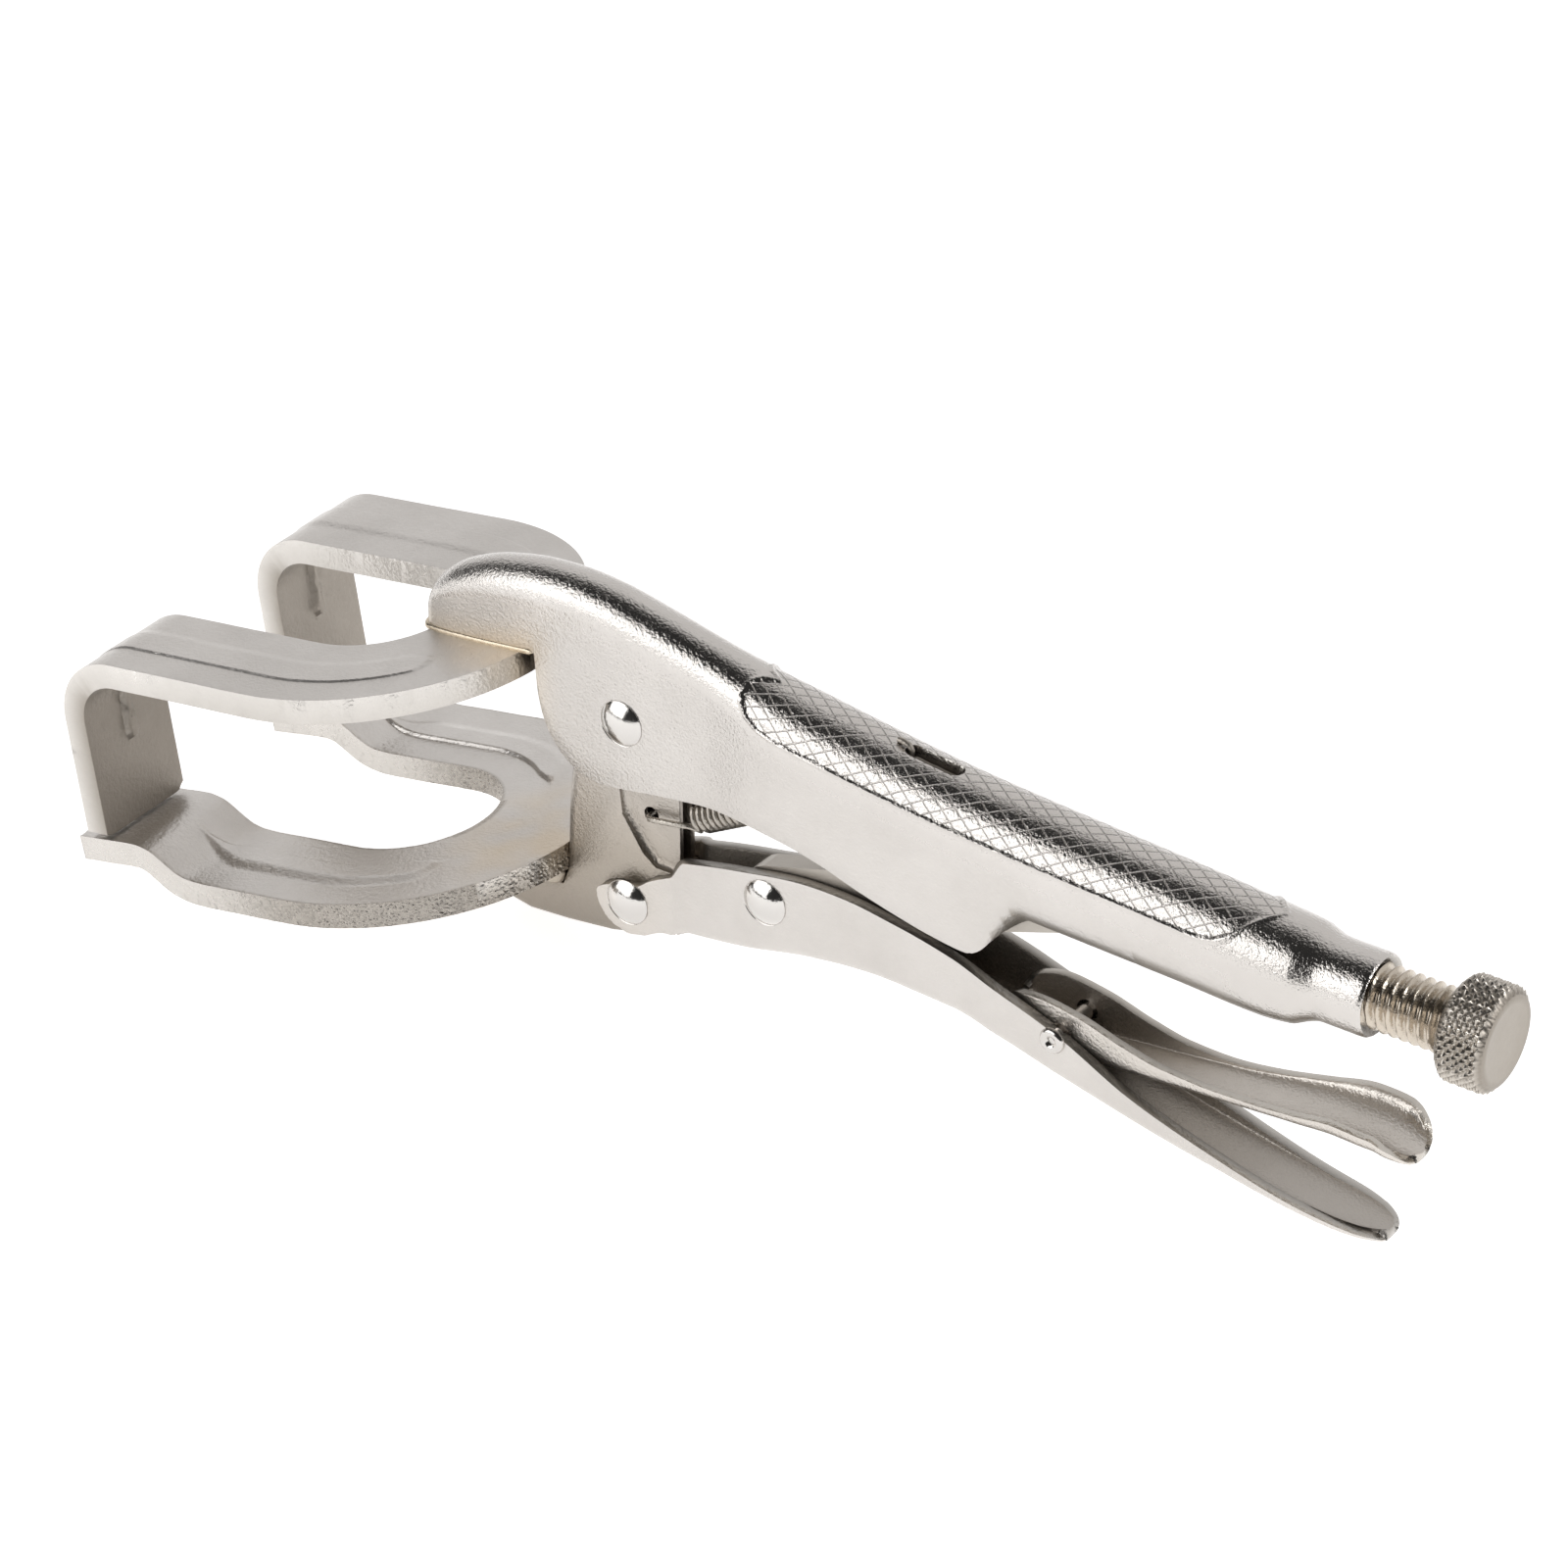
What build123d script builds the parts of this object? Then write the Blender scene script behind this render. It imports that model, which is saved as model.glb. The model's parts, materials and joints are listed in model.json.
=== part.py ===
from build123d import *
from math import atan2, cos, degrees, hypot, radians, sin, sqrt, tan
import os

# Locking welding pliers with U-shaped jaws, closed and locked, resting on the lower jaw and the
# lower handle. Millimetres. X runs from the jaws to the adjusting knob, Y across the tool, Z up.
# While it is being built, the jaw pivot is the origin; the finished tool is moved so that the
# bottom centre of its bounding box is the origin.

# ---- fits and clearances
RUN_CLEARANCE = 0.05      # radial, between a pin and the hole that turns on it
SIDE_CLEARANCE = 0.15     # between flat faces that slide past each other
JAW_GAP = 0.35            # between the closed jaw tips
LINK_TIP_GAP = 2.4        # between the toggle link and the screw, where the linkage is open
WELD_SEAM = 0.04          # between two pieces that a weld joins

# ---- sheet
HANDLE_WALL = 1.7
BRACKET_WIDTH = 6.0
BRACKET_SHEET = 2.0
PINCH_DEPTH = 1.0             # how far each side is pressed in behind the fold
FORK_PLATE = 3.9

# ---- jaws
FORK_OUTER_RADIUS = 31.5
FORK_INNER_RADIUS = 13.7
UPPER_FORK_SLOPE = 8.9
UPPER_FORK_HEIGHT = 8.9       # top face of the plate, straight above the jaw pivot
UPPER_FORK_CENTRE = -49.2     # centre of the round root, along the plate
UPPER_FORK_REACH = 86.3       # front face of the legs, along the plate
LEG_DEPTH = 30.3
LEG_BEND_RADIUS = 11.0
ROOT_TAB_LENGTH = 9.0
LOWER_FORK_SLOPE = 11.0
LOWER_FORK_CENTRE = -43.2
TIP_STEP_START = 60.0         # where the lower fork's tips begin to rise
TIP_STEP_LENGTH = 12.0
TIP_STEP_RISE = 4.5
LOWER_FORK_TIP = 82.4

# ---- pivots, from the jaw pivot
HANDLE_PIVOT = (0.6, -30.45)
TOGGLE_PIVOT = (24.6, -22.05)
LINK_END = (85.5, -1.9)
RELEASE_PIVOT = (75.5, -24.7)
SCREW_AXIS_Z = LINK_END[1]

# ---- rivets
RIVET_RADIUS = 2.5
RIVET_HEAD_RADIUS = 3.7
RIVET_HEAD_HEIGHT = 1.5
RELEASE_PIN_RADIUS = 1.3
RELEASE_PIN_HEAD = 2.0

# ---- upper handle
NOSE_HALF_WIDTH = BRACKET_WIDTH / 2 + SIDE_CLEARANCE + HANDLE_WALL
GRIP_HALF_WIDTH = 7.1
GRIP_START_X = 68.0
TAIL_RADIUS = 6.1
TAIL_START_X = 116.5
BORE_START_X = 106.0
TAIL_MOUTH_X = 123.6
SLOT_START = 46.3
SLOT_LENGTH = 9.6
SLOT_WIDTH = 2.2

# ---- adjusting screw
SCREW_RADIUS = 4.76
SCREW_BORE_CLEARANCE = 0.1
KNOB_START_X = 135.2
KNOB_LENGTH = 7.6
KNOB_RADIUS = 7.8
KNOB_CHAMFER = 1.0
KNOB_SPIGOT_RADIUS = 2.5
KNOB_SPIGOT_LENGTH = 5.0

# ---- lower handle
CHANNEL_HALF_WIDTH = 3.9      # behind the ears, where the channel holds the toggle link
CHANNEL_REAR_HALF_WIDTH = 6.1
EAR_HALF_WIDTH = BRACKET_WIDTH / 2 + SIDE_CLEARANCE + HANDLE_WALL
EAR_STEP_X = 9.5
EAR_RADIUS = 5.6
HANDLE_END_X = 127.6

# ---- toggle link and release lever
LINK_THICKNESS = 3.9
LINK_FRONT_RADIUS = 5.0
LINK_END_RADIUS = 3.3
LINK_SIDE_ROOM = 0.6        # beside the link where it enters the grip
LEVER_SHEET = 1.3

# ---- spring
SPRING_WIRE = 0.9
SPRING_RADIUS = 2.45          # to the middle of the wire
SPRING_HOLE = (3.0, -16.0)
SPRING_HOLE_RADIUS = 1.2
SPRING_COIL_START = (11.0, -14.0)
SPRING_COIL_END = (38.5, 1.2)


def side_face(points):
    """A face in the XZ plane through the given (x, z) points."""
    return make_face(Polyline(*[(x, 0, z) for x, z in points], close=True)).face()


def slab(face, y_low, y_high):
    """The solid of a side face between two Y positions."""
    return extrude(Pos(0, y_low, 0) * face, amount=y_high - y_low, dir=(0, 1, 0))


def both_sides(face, y_inner, y_outer):
    """Two mirrored slabs of one side face."""
    return slab(face, y_inner, y_outer) + slab(face, -y_outer, -y_inner)


def cross_cylinder(x, z, radius, half_length):
    """A cylinder along Y, centred on the middle plane."""
    return Pos(x, 0, z) * Rot(90, 0, 0) * Cylinder(radius, 2 * half_length)


def axial_cylinder(x_start, length, radius):
    """A cylinder along X on the screw axis."""
    return Pos(x_start + length / 2, 0, SCREW_AXIS_Z) * Rot(0, 90, 0) * Cylinder(radius, length)


# ---------------------------------------------------------------- sections for the handles
def arch_section(x, half_width, crest, foot):
    """An upright face across the handle: straight sides and a half-round top."""
    shoulder = crest - half_width
    outline = [
        Line((x, -half_width, shoulder), (x, -half_width, foot)),
        Line((x, -half_width, foot), (x, half_width, foot)),
        Line((x, half_width, foot), (x, half_width, shoulder)),
        ThreePointArc((x, half_width, shoulder), (x, 0, crest), (x, -half_width, shoulder)),
    ]
    return make_face(Wire(outline)).face()


def round_section(x, half_width, crest, bottom):
    """An upright face across the grip: half-round above and below."""
    upper = crest - half_width
    lower = min(bottom + half_width, upper - 0.01)
    outline = [
        Line((x, -half_width, upper), (x, -half_width, lower)),
        ThreePointArc((x, -half_width, lower), (x, 0, lower - half_width), (x, half_width, lower)),
        Line((x, half_width, lower), (x, half_width, upper)),
        ThreePointArc((x, half_width, upper), (x, 0, upper + half_width), (x, -half_width, upper)),
    ]
    return make_face(Wire(outline)).face()


def trough_section(x, half_width, rim, bottom, corner):
    """An upright face across a channel: open end up, with rounded lower corners."""
    outline = [
        Line((x, -half_width, rim), (x, -half_width, bottom + corner)),
        ThreePointArc(
            (x, -half_width, bottom + corner),
            (x, -half_width + corner * (1 - sqrt(0.5)), bottom + corner * (1 - sqrt(0.5))),
            (x, -half_width + corner, bottom),
        ),
        Line((x, -half_width + corner, bottom), (x, half_width - corner, bottom)),
        ThreePointArc(
            (x, half_width - corner, bottom),
            (x, half_width - corner * (1 - sqrt(0.5)), bottom + corner * (1 - sqrt(0.5))),
            (x, half_width, bottom + corner),
        ),
        Line((x, half_width, bottom + corner), (x, half_width, rim)),
        Line((x, half_width, rim), (x, -half_width, rim)),
    ]
    return make_face(Wire(outline)).face()


# ---------------------------------------------------------------- upper handle
def handle_widths():
    """Stations (x, half width, crest height) from the nose to the rear of the open part."""
    nose = NOSE_HALF_WIDTH
    grip = GRIP_HALF_WIDTH
    return [
        (-37.0, 0.55 * nose, 7.5),
        (-35.3, 0.72 * nose, 11.3),
        (-31.0, 0.86 * nose, 14.7),
        (-24.0, 0.95 * nose, 17.6),
        (-14.0, nose, 19.4),
        (-6.0, nose, 19.6),
        (4.0, nose, 17.7),
        (14.0, nose + 0.1, 15.5),
        (24.0, grip - 0.6, 13.5),
        (40.0, grip, 11.1),
        (56.0, grip, 9.1),
        (GRIP_START_X, grip, 8.3),
    ]


def handle_side_outline():
    """Side view of the two walls, from the nose round the pivot lobe to the grip."""
    top = UPPER_FORK_HEIGHT + tan_slope(UPPER_FORK_SLOPE) * -40.0 + WELD_SEAM
    behind = UPPER_FORK_HEIGHT + tan_slope(UPPER_FORK_SLOPE) * -15.2 + WELD_SEAM
    return [
        (-40.0, 30.0), (-40.0, top), (-15.2, behind), (-15.4, 3.0), (-14.1, -3.5), (-12.7, -6.6),
        (-10.2, -9.5), (-7.4, -11.1), (-4.0, -11.6), (0.8, -11.0), (5.0, -10.2), (10.0, -9.4),
        (15.5, -8.6), (22.0, -8.2), (29.5, -8.4), (36.0, -9.3), (43.0, -11.5), (49.0, -13.0),
        (55.5, -14.2), (61.5, -14.9), (64.0, -14.2), (66.0, -12.2), (GRIP_START_X, -9.8),
        (GRIP_START_X, 30.0),
    ]


def tan_slope(angle):
    """Rise over run of a slope in degrees."""
    return tan(radians(angle))


def front_shell(inset):
    """The nose and the open part of the handle as one solid, inset from its outer faces."""
    stations = [(x, w - inset, c - inset) for x, w, c in handle_widths()]
    if inset > 0:
        stations[0] = (stations[0][0] + inset, stations[0][1], stations[0][2])
    faces = [arch_section(x, w, c, -20.0) for x, w, c in stations]
    return Solid.make_loft([f.outer_wire() for f in faces], ruled=True)


def grip_shell(inset):
    """The closed part of the grip and its round tail, inset from their outer faces."""
    tail = (TAIL_RADIUS, SCREW_AXIS_Z + TAIL_RADIUS, SCREW_AXIS_Z - TAIL_RADIUS)
    stations = [
        (GRIP_START_X, GRIP_HALF_WIDTH, 8.3, -9.2),
        (94.0, GRIP_HALF_WIDTH, 6.9, -9.9),
        (107.0, GRIP_HALF_WIDTH, 5.7, -10.4),
        (112.0, GRIP_HALF_WIDTH - 0.1, 5.2, -9.8),
        (TAIL_START_X, *tail),
        (TAIL_MOUTH_X, *tail),
    ]
    faces = [round_section(x, w - inset, c - inset, b + inset) for x, w, c, b in stations]
    return Solid.make_loft([f.outer_wire() for f in faces], ruled=True)


def build_upper_handle():
    """Pressed handle: nose, walls, closed grip, tail with its threaded mouth, holes and slot."""
    trim = slab(side_face(handle_side_outline()), -20, 20)
    body = (front_shell(0) & trim) + grip_shell(0)
    body = body - front_shell(HANDLE_WALL) - grip_shell(HANDLE_WALL)
    bore = SCREW_RADIUS + SCREW_BORE_CLEARANCE
    body = body - axial_cylinder(BORE_START_X, TAIL_MOUTH_X - BORE_START_X + 1.0, bore)
    slot_top = Pos(SLOT_START + SLOT_LENGTH / 2, 0, 10) * Box(SLOT_LENGTH, SLOT_WIDTH, 12)
    body = body - slot_top
    seam_length = LINK_END[0] - GRIP_START_X + 2.0
    seam = Pos(GRIP_START_X + seam_length / 2 - 1.0, 0, -9.0) * Box(
        seam_length, LINK_THICKNESS + 2 * LINK_SIDE_ROOM, 9.0)
    body = body - seam
    return body - cross_cylinder(0, 0, RIVET_RADIUS, 20)


# ---------------------------------------------------------------- upper jaw
def upper_plate_place():
    """Where the upper fork's own axes lie: origin on its top face above the jaw pivot."""
    return Pos(0, 0, UPPER_FORK_HEIGHT) * Rot(0, -UPPER_FORK_SLOPE, 0)


def fork_root(centre):
    """The half-round root of a fork and a short stub of both arms, top face at Z = 0."""
    disc = Pos(centre, 0, -FORK_PLATE / 2) * Cylinder(FORK_OUTER_RADIUS, FORK_PLATE)
    gap = Pos(centre, 0, -FORK_PLATE / 2) * Cylinder(FORK_INNER_RADIUS, 2 * FORK_PLATE)
    rear = Pos(centre + FORK_OUTER_RADIUS, 0, 0) * Box(
        2 * FORK_OUTER_RADIUS, 3 * FORK_OUTER_RADIUS, 3 * FORK_PLATE)
    return (disc & rear) - gap


def upper_arm_outline():
    """Side view of one arm: flat plate, round bend and leg, in the plate's own axes."""
    front = -UPPER_FORK_REACH
    inner = LEG_BEND_RADIUS - FORK_PLATE
    outer_mid = LEG_BEND_RADIUS * (1 - sqrt(0.5))
    inner_mid = FORK_PLATE + inner * (1 - sqrt(0.5))
    outline = [
        Line((UPPER_FORK_CENTRE, 0, 0), (front + LEG_BEND_RADIUS, 0, 0)),
        ThreePointArc((front + LEG_BEND_RADIUS, 0, 0), (front + outer_mid, 0, -outer_mid),
                      (front, 0, -LEG_BEND_RADIUS)),
        Line((front, 0, -LEG_BEND_RADIUS), (front, 0, -LEG_DEPTH)),
        Line((front, 0, -LEG_DEPTH), (front + FORK_PLATE, 0, -LEG_DEPTH)),
        Line((front + FORK_PLATE, 0, -LEG_DEPTH), (front + FORK_PLATE, 0, -LEG_BEND_RADIUS)),
        ThreePointArc((front + FORK_PLATE, 0, -LEG_BEND_RADIUS), (front + inner_mid, 0, -inner_mid),
                      (front + LEG_BEND_RADIUS, 0, -FORK_PLATE)),
        Line((front + LEG_BEND_RADIUS, 0, -FORK_PLATE), (UPPER_FORK_CENTRE, 0, -FORK_PLATE)),
        Line((UPPER_FORK_CENTRE, 0, -FORK_PLATE), (UPPER_FORK_CENTRE, 0, 0)),
    ]
    return make_face(Wire(outline)).face()


def build_upper_jaw_fork():
    """U-shaped plate with both tips bent down into legs and a root tab inside the handle."""
    arms = both_sides(upper_arm_outline(), FORK_INNER_RADIUS, FORK_OUTER_RADIUS)
    fork = fork_root(UPPER_FORK_CENTRE) + arms
    root = UPPER_FORK_CENTRE + FORK_OUTER_RADIUS
    tab_width = 2 * (NOSE_HALF_WIDTH - HANDLE_WALL - SIDE_CLEARANCE)
    tab = Pos(root - 1 + (ROOT_TAB_LENGTH + 1) / 2, 0, -FORK_PLATE / 2) * Box(
        ROOT_TAB_LENGTH + 1, tab_width, FORK_PLATE)
    fork = fork + tab
    fork = fork - walls_behind_root()
    return upper_plate_place() * fork


def walls_behind_root():
    """Room for the handle's walls beside the root tab."""
    start = UPPER_FORK_CENTRE + FORK_OUTER_RADIUS - 1.0
    half = NOSE_HALF_WIDTH - HANDLE_WALL - SIDE_CLEARANCE
    block = Box(20, 20, 20)
    return Pos(start + 13.2, half + 10, 0) * block + Pos(start + 13.2, -half - 10, 0) * block


def build_upper_jaw_weld():
    """Brazed fillets along both sides of the nose, on top of the fork's root."""
    profile = [(0.0, 0.0), (2.2, 0.0), (0.0, 2.0)]
    beads = []
    for side in (-1, 1):
        points = [(-30.5, side * (0.80 * NOSE_HALF_WIDTH + y), z) for y, z in profile]
        wide = [(-17.5, side * (NOSE_HALF_WIDTH * 0.975 + y), z) for y, z in profile]
        first = Wire.make_polygon([Vector(*p) for p in points], close=True)
        last = Wire.make_polygon([Vector(*p) for p in wide], close=True)
        beads.append(Solid.make_loft([first, last], ruled=True))
    return upper_plate_place() * Compound(children=beads) - front_shell(-WELD_SEAM)


# ---------------------------------------------------------------- lower jaw
def lower_plate_place():
    """Where the lower fork's own axes lie: its tips close on the upper fork's legs."""
    legs_foot = upper_point(-UPPER_FORK_REACH + FORK_PLATE / 2, -LEG_DEPTH - JAW_GAP)
    tip = (-(LOWER_FORK_TIP - 4.0), TIP_STEP_RISE - 4.0 * tip_fall())
    angle = radians(LOWER_FORK_SLOPE)
    x = tip[0] * cos(angle) - tip[1] * sin(angle)
    z = tip[0] * sin(angle) + tip[1] * cos(angle)
    return Pos(legs_foot[0] - x, 0, legs_foot[1] - z) * Rot(0, -LOWER_FORK_SLOPE, 0)


def upper_point(along, height):
    """A point of the upper fork's own axes, as (x, z) of the tool."""
    angle = radians(UPPER_FORK_SLOPE)
    x = along * cos(angle) - height * sin(angle)
    return (x, UPPER_FORK_HEIGHT + along * sin(angle) + height * cos(angle))


def tip_fall():
    """Slope of the lower tips against their plate, so that they lie square to the legs."""
    return -tan_slope(LOWER_FORK_SLOPE - UPPER_FORK_SLOPE)


def lower_arm_outline():
    """Side view of one lower arm: flat plate, rising step and tip, in the plate's own axes."""
    step_end = TIP_STEP_START + TIP_STEP_LENGTH
    tip_rise = TIP_STEP_RISE - (LOWER_FORK_TIP - 4.0 - step_end) * tip_fall()
    end_rise = tip_rise + (LOWER_FORK_TIP - step_end) * tip_fall()
    top = [
        (LOWER_FORK_CENTRE, 0.0), (-TIP_STEP_START, 0.0),
        (-TIP_STEP_START - 0.25 * TIP_STEP_LENGTH, 0.12 * tip_rise),
        (-TIP_STEP_START - 0.75 * TIP_STEP_LENGTH, 0.88 * tip_rise),
        (-step_end, tip_rise), (-LOWER_FORK_TIP, end_rise),
    ]
    bottom = [(x, z - FORK_PLATE) for x, z in reversed(top)]
    return side_face(top + bottom)


def build_lower_jaw_fork():
    """Flat U-shaped plate with raised tips, welded into the bracket's slot."""
    arms = both_sides(lower_arm_outline(), FORK_INNER_RADIUS, FORK_OUTER_RADIUS)
    return lower_plate_place() * (fork_root(LOWER_FORK_CENTRE) + arms)


def bracket_outline():
    """Side view of the bracket: pivot eye, straight front, toe under the fork, lower eye."""
    return [
        (-4.5, 6.4), (4.5, 6.4), (7.6, 2.0), (8.0, -10.0), (8.2, -23.0), (7.0, -28.0),
        (6.4, -32.0), (3.5, -36.4), (-4.0, -38.4), (-12.0, -39.6), (-19.0, -40.2), (-23.5, -39.0),
        (-27.0, -34.5), (-27.0, -33.0), (-12.4, -33.0), (-12.1, -20.0), (-11.2, -12.0), (-7.5, 2.0),
    ]


def fork_slot():
    """The slot in which the lower fork's root sits, a seam's width larger than the plate."""
    thick = FORK_PLATE + 2 * WELD_SEAM
    reach = FORK_OUTER_RADIUS + WELD_SEAM
    disc = Pos(LOWER_FORK_CENTRE, 0, -FORK_PLATE / 2) * Cylinder(reach, thick)
    return lower_plate_place() * disc


def build_lower_jaw_bracket():
    """Sheet folded round its front edge, pinched flat behind, with three holes."""
    half = BRACKET_WIDTH / 2
    body = slab(side_face(bracket_outline()), -half, half)
    pinch = [(-1.7, -12.9), (1.0, -11.6), (9.5, -11.6), (9.5, -23.4), (4.1, -23.4), (-1.2, -16.5)]
    body = body - both_sides(side_face(pinch), half - PINCH_DEPTH, half + 1.0)
    inside = [(-4.0, 12.0), (-6.0, 0.0), (-9.0, -13.0), (-9.6, -24.0), (-5.0, -26.0), (-3.4, -18.0),
              (-3.4, -12.0), (0.0, -9.6), (12.0, -9.6), (12.0, 12.0)]
    cavity = half - BRACKET_SHEET
    body = body - slab(side_face(inside), -cavity, cavity)
    body = body - fork_slot()
    body = body - cross_cylinder(0, 0, RIVET_RADIUS + RUN_CLEARANCE, 10)
    x, z = HANDLE_PIVOT
    body = body - cross_cylinder(x, z, RIVET_RADIUS + RUN_CLEARANCE, 10)
    x, z = SPRING_HOLE
    return body - cross_cylinder(x, z, SPRING_HOLE_RADIUS, 10)


def build_lower_jaw_weld():
    """Weld beads under the lower fork, one on each side of the bracket's toe."""
    half = BRACKET_WIDTH / 2
    beads = []
    place = lower_plate_place()
    low = -FORK_PLATE - 0.02
    for side in (-1, 1):
        ends = []
        for x, size in ((-29.5, 1.6), (-14.6, 2.6)):
            corner = [(x, side * half, low), (x, side * (half + size), low), (x, side * half, low - size)]
            ends.append(Wire.make_polygon([Vector(*p) for p in corner], close=True))
        beads.append(Solid.make_loft(ends, ruled=True))
    return place * Compound(children=beads)


# ---------------------------------------------------------------- lower handle
def channel_stations():
    """Stations (x, half width, rim, bottom) of the lower handle behind its ears."""
    mid = CHANNEL_HALF_WIDTH
    rear = CHANNEL_REAR_HALF_WIDTH
    return [
        (EAR_STEP_X, mid, -20.8, -33.4),
        (20.0, mid, -18.5, -32.0),
        (32.0, mid, -16.4, -29.3),
        (48.0, mid + 0.45 * (rear - mid), -16.6, -27.3),
        (58.0, mid + 0.75 * (rear - mid), -17.8, -27.2),
        (66.0, rear, -20.2, -28.6),
        (76.0, rear, -23.6, -31.4),
        (88.0, rear, -29.4, -34.2),
        (100.0, rear - 0.3, -33.3, -36.9),
        (114.0, rear - 0.6, -37.0, -39.5),
        (HANDLE_END_X - 4.0, rear - 1.0, -38.4, -40.3),
        (HANDLE_END_X, 0.55 * rear, -38.6, -40.1),
    ]


def channel_solid(inset, floor_inset):
    """The lower handle as a solid, inset from its outer faces and open at the top."""
    faces = []
    for x, width, rim, bottom in channel_stations():
        corner = min(2.6, 0.6 * (rim - bottom), width - inset - 0.6)
        lift = 8.0 if inset else 0.0
        faces.append(trough_section(x, width - inset, rim + lift, bottom + floor_inset, corner))
    return Solid.make_loft([f.outer_wire() for f in faces], ruled=True)


def ear_outline():
    """Side view of one ear round the handle pivot."""
    x, z = HANDLE_PIVOT
    points = []
    for angle in range(75, 286, 15):
        points.append((x + EAR_RADIUS * cos(radians(angle)), z + EAR_RADIUS * sin(radians(angle))))
    return [(EAR_STEP_X + 1.5, -20.6), (4.5, -22.6)] + points + [(7.6, -33.1), (EAR_STEP_X + 1.5, -33.0)]


def build_lower_handle():
    """Channel with two spread ears at the front and a spoon-shaped end."""
    body = channel_solid(0, 0) - channel_solid(HANDLE_WALL, HANDLE_WALL * 0.8)
    front_cut = Pos(EAR_STEP_X, 0, -20) * Box(3.0, 2 * (CHANNEL_HALF_WIDTH - HANDLE_WALL), 24)
    body = body - front_cut
    ears = both_sides(side_face(ear_outline()), EAR_HALF_WIDTH - HANDLE_WALL, EAR_HALF_WIDTH)
    steps = both_sides(
        side_face([(EAR_STEP_X - 0.2, -20.9), (EAR_STEP_X - 0.2, -33.0), (EAR_STEP_X + 1.5, -33.0),
                   (EAR_STEP_X + 1.5, -20.6)]),
        CHANNEL_HALF_WIDTH - 0.5, EAR_HALF_WIDTH)
    body = body + ears + steps
    x, z = HANDLE_PIVOT
    body = body - cross_cylinder(x, z, RIVET_RADIUS, 20)
    x, z = TOGGLE_PIVOT
    body = body - cross_cylinder(x, z, RIVET_RADIUS, 20)
    x, z = RELEASE_PIVOT
    return body - cross_cylinder(x, z, RELEASE_PIN_RADIUS, 20)


# ---------------------------------------------------------------- link and lever
def build_toggle_link():
    """Flat link between the toggle rivet and the screw, with a rounded rear end."""
    x1, z1 = TOGGLE_PIVOT
    x2, z2 = LINK_END
    half = LINK_THICKNESS / 2
    angle = atan2(z2 - z1, x2 - x1)
    length = hypot(x2 - x1, z2 - z1)
    outline = []
    for turn in range(90, 271, 15):
        outline.append((LINK_FRONT_RADIUS * cos(radians(turn)), LINK_FRONT_RADIUS * sin(radians(turn))))
    for turn in range(-90, 91, 15):
        reach = length + LINK_END_RADIUS * cos(radians(turn))
        outline.append((reach, LINK_END_RADIUS * sin(radians(turn))))
    bar = slab(side_face(outline), -half, half)
    bar = Pos(x1, 0, z1) * Rot(0, -degrees(angle), 0) * bar
    return bar - cross_cylinder(x1, z1, RIVET_RADIUS + RUN_CLEARANCE, 10)


def lever_stations():
    """Stations (x, half width, rim, bottom) of the release lever."""
    inner = CHANNEL_REAR_HALF_WIDTH - HANDLE_WALL - SIDE_CLEARANCE
    return [
        (65.6, inner - 0.9, -22.4, -24.6),
        (68.0, inner - 0.4, -21.0, -25.6),
        (72.0, inner, -20.5, -27.2),
        (78.0, inner, -20.9, -28.3),
        (86.0, inner, -23.2, -27.6),
        (96.0, inner + 0.2, -24.3, -26.8),
        (108.0, inner + 0.8, -23.4, -25.7),
        (118.0, inner + 1.8, -21.2, -24.8),
        (125.0, inner + 2.2, -20.8, -24.8),
        (129.6, inner + 1.0, -22.2, -25.6),
        (131.4, inner - 1.2, -24.2, -26.4),
    ]


def lever_solid(inset):
    """The release lever as a solid, inset from its outer faces and open at the top."""
    faces = []
    for x, width, rim, bottom in lever_stations():
        corner = min(2.6, 0.7 * (rim - bottom), width - inset - 0.5)
        lift = 8.0 if inset else 0.0
        faces.append(trough_section(x, width - inset, rim + lift, bottom + inset, corner))
    return Solid.make_loft([f.outer_wire() for f in faces], ruled=True)


def build_release_lever():
    """Small channel that turns on the release pin, with a wide shallow paddle."""
    body = lever_solid(0) - lever_solid(LEVER_SHEET)
    x, z = RELEASE_PIVOT
    return body - cross_cylinder(x, z, RELEASE_PIN_RADIUS + RUN_CLEARANCE, 20)


# ---------------------------------------------------------------- screw and knob
def build_adjusting_screw():
    """Threaded shank through the tail; its tip takes the toggle link's thrust."""
    tip = LINK_END[0] + LINK_END_RADIUS + LINK_TIP_GAP
    shank = axial_cylinder(tip, KNOB_START_X - SIDE_CLEARANCE - tip, SCREW_RADIUS)
    ends = shank.edges().filter_by(GeomType.CIRCLE).group_by(Axis.X)[0]
    shank = chamfer(ends, 1.0)
    spigot = axial_cylinder(KNOB_START_X - SIDE_CLEARANCE - 0.1, KNOB_SPIGOT_LENGTH + 0.1, KNOB_SPIGOT_RADIUS)
    return shank + spigot


def build_adjusting_knob():
    """Head of the screw, with chamfered rims and a blind bore for the shank's spigot."""
    knob = axial_cylinder(KNOB_START_X, KNOB_LENGTH, KNOB_RADIUS)
    knob = chamfer(knob.edges().filter_by(GeomType.CIRCLE), KNOB_CHAMFER)
    depth = KNOB_SPIGOT_LENGTH + SIDE_CLEARANCE
    return knob - axial_cylinder(KNOB_START_X - 0.5, depth + 0.5, KNOB_SPIGOT_RADIUS + RUN_CLEARANCE)


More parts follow.
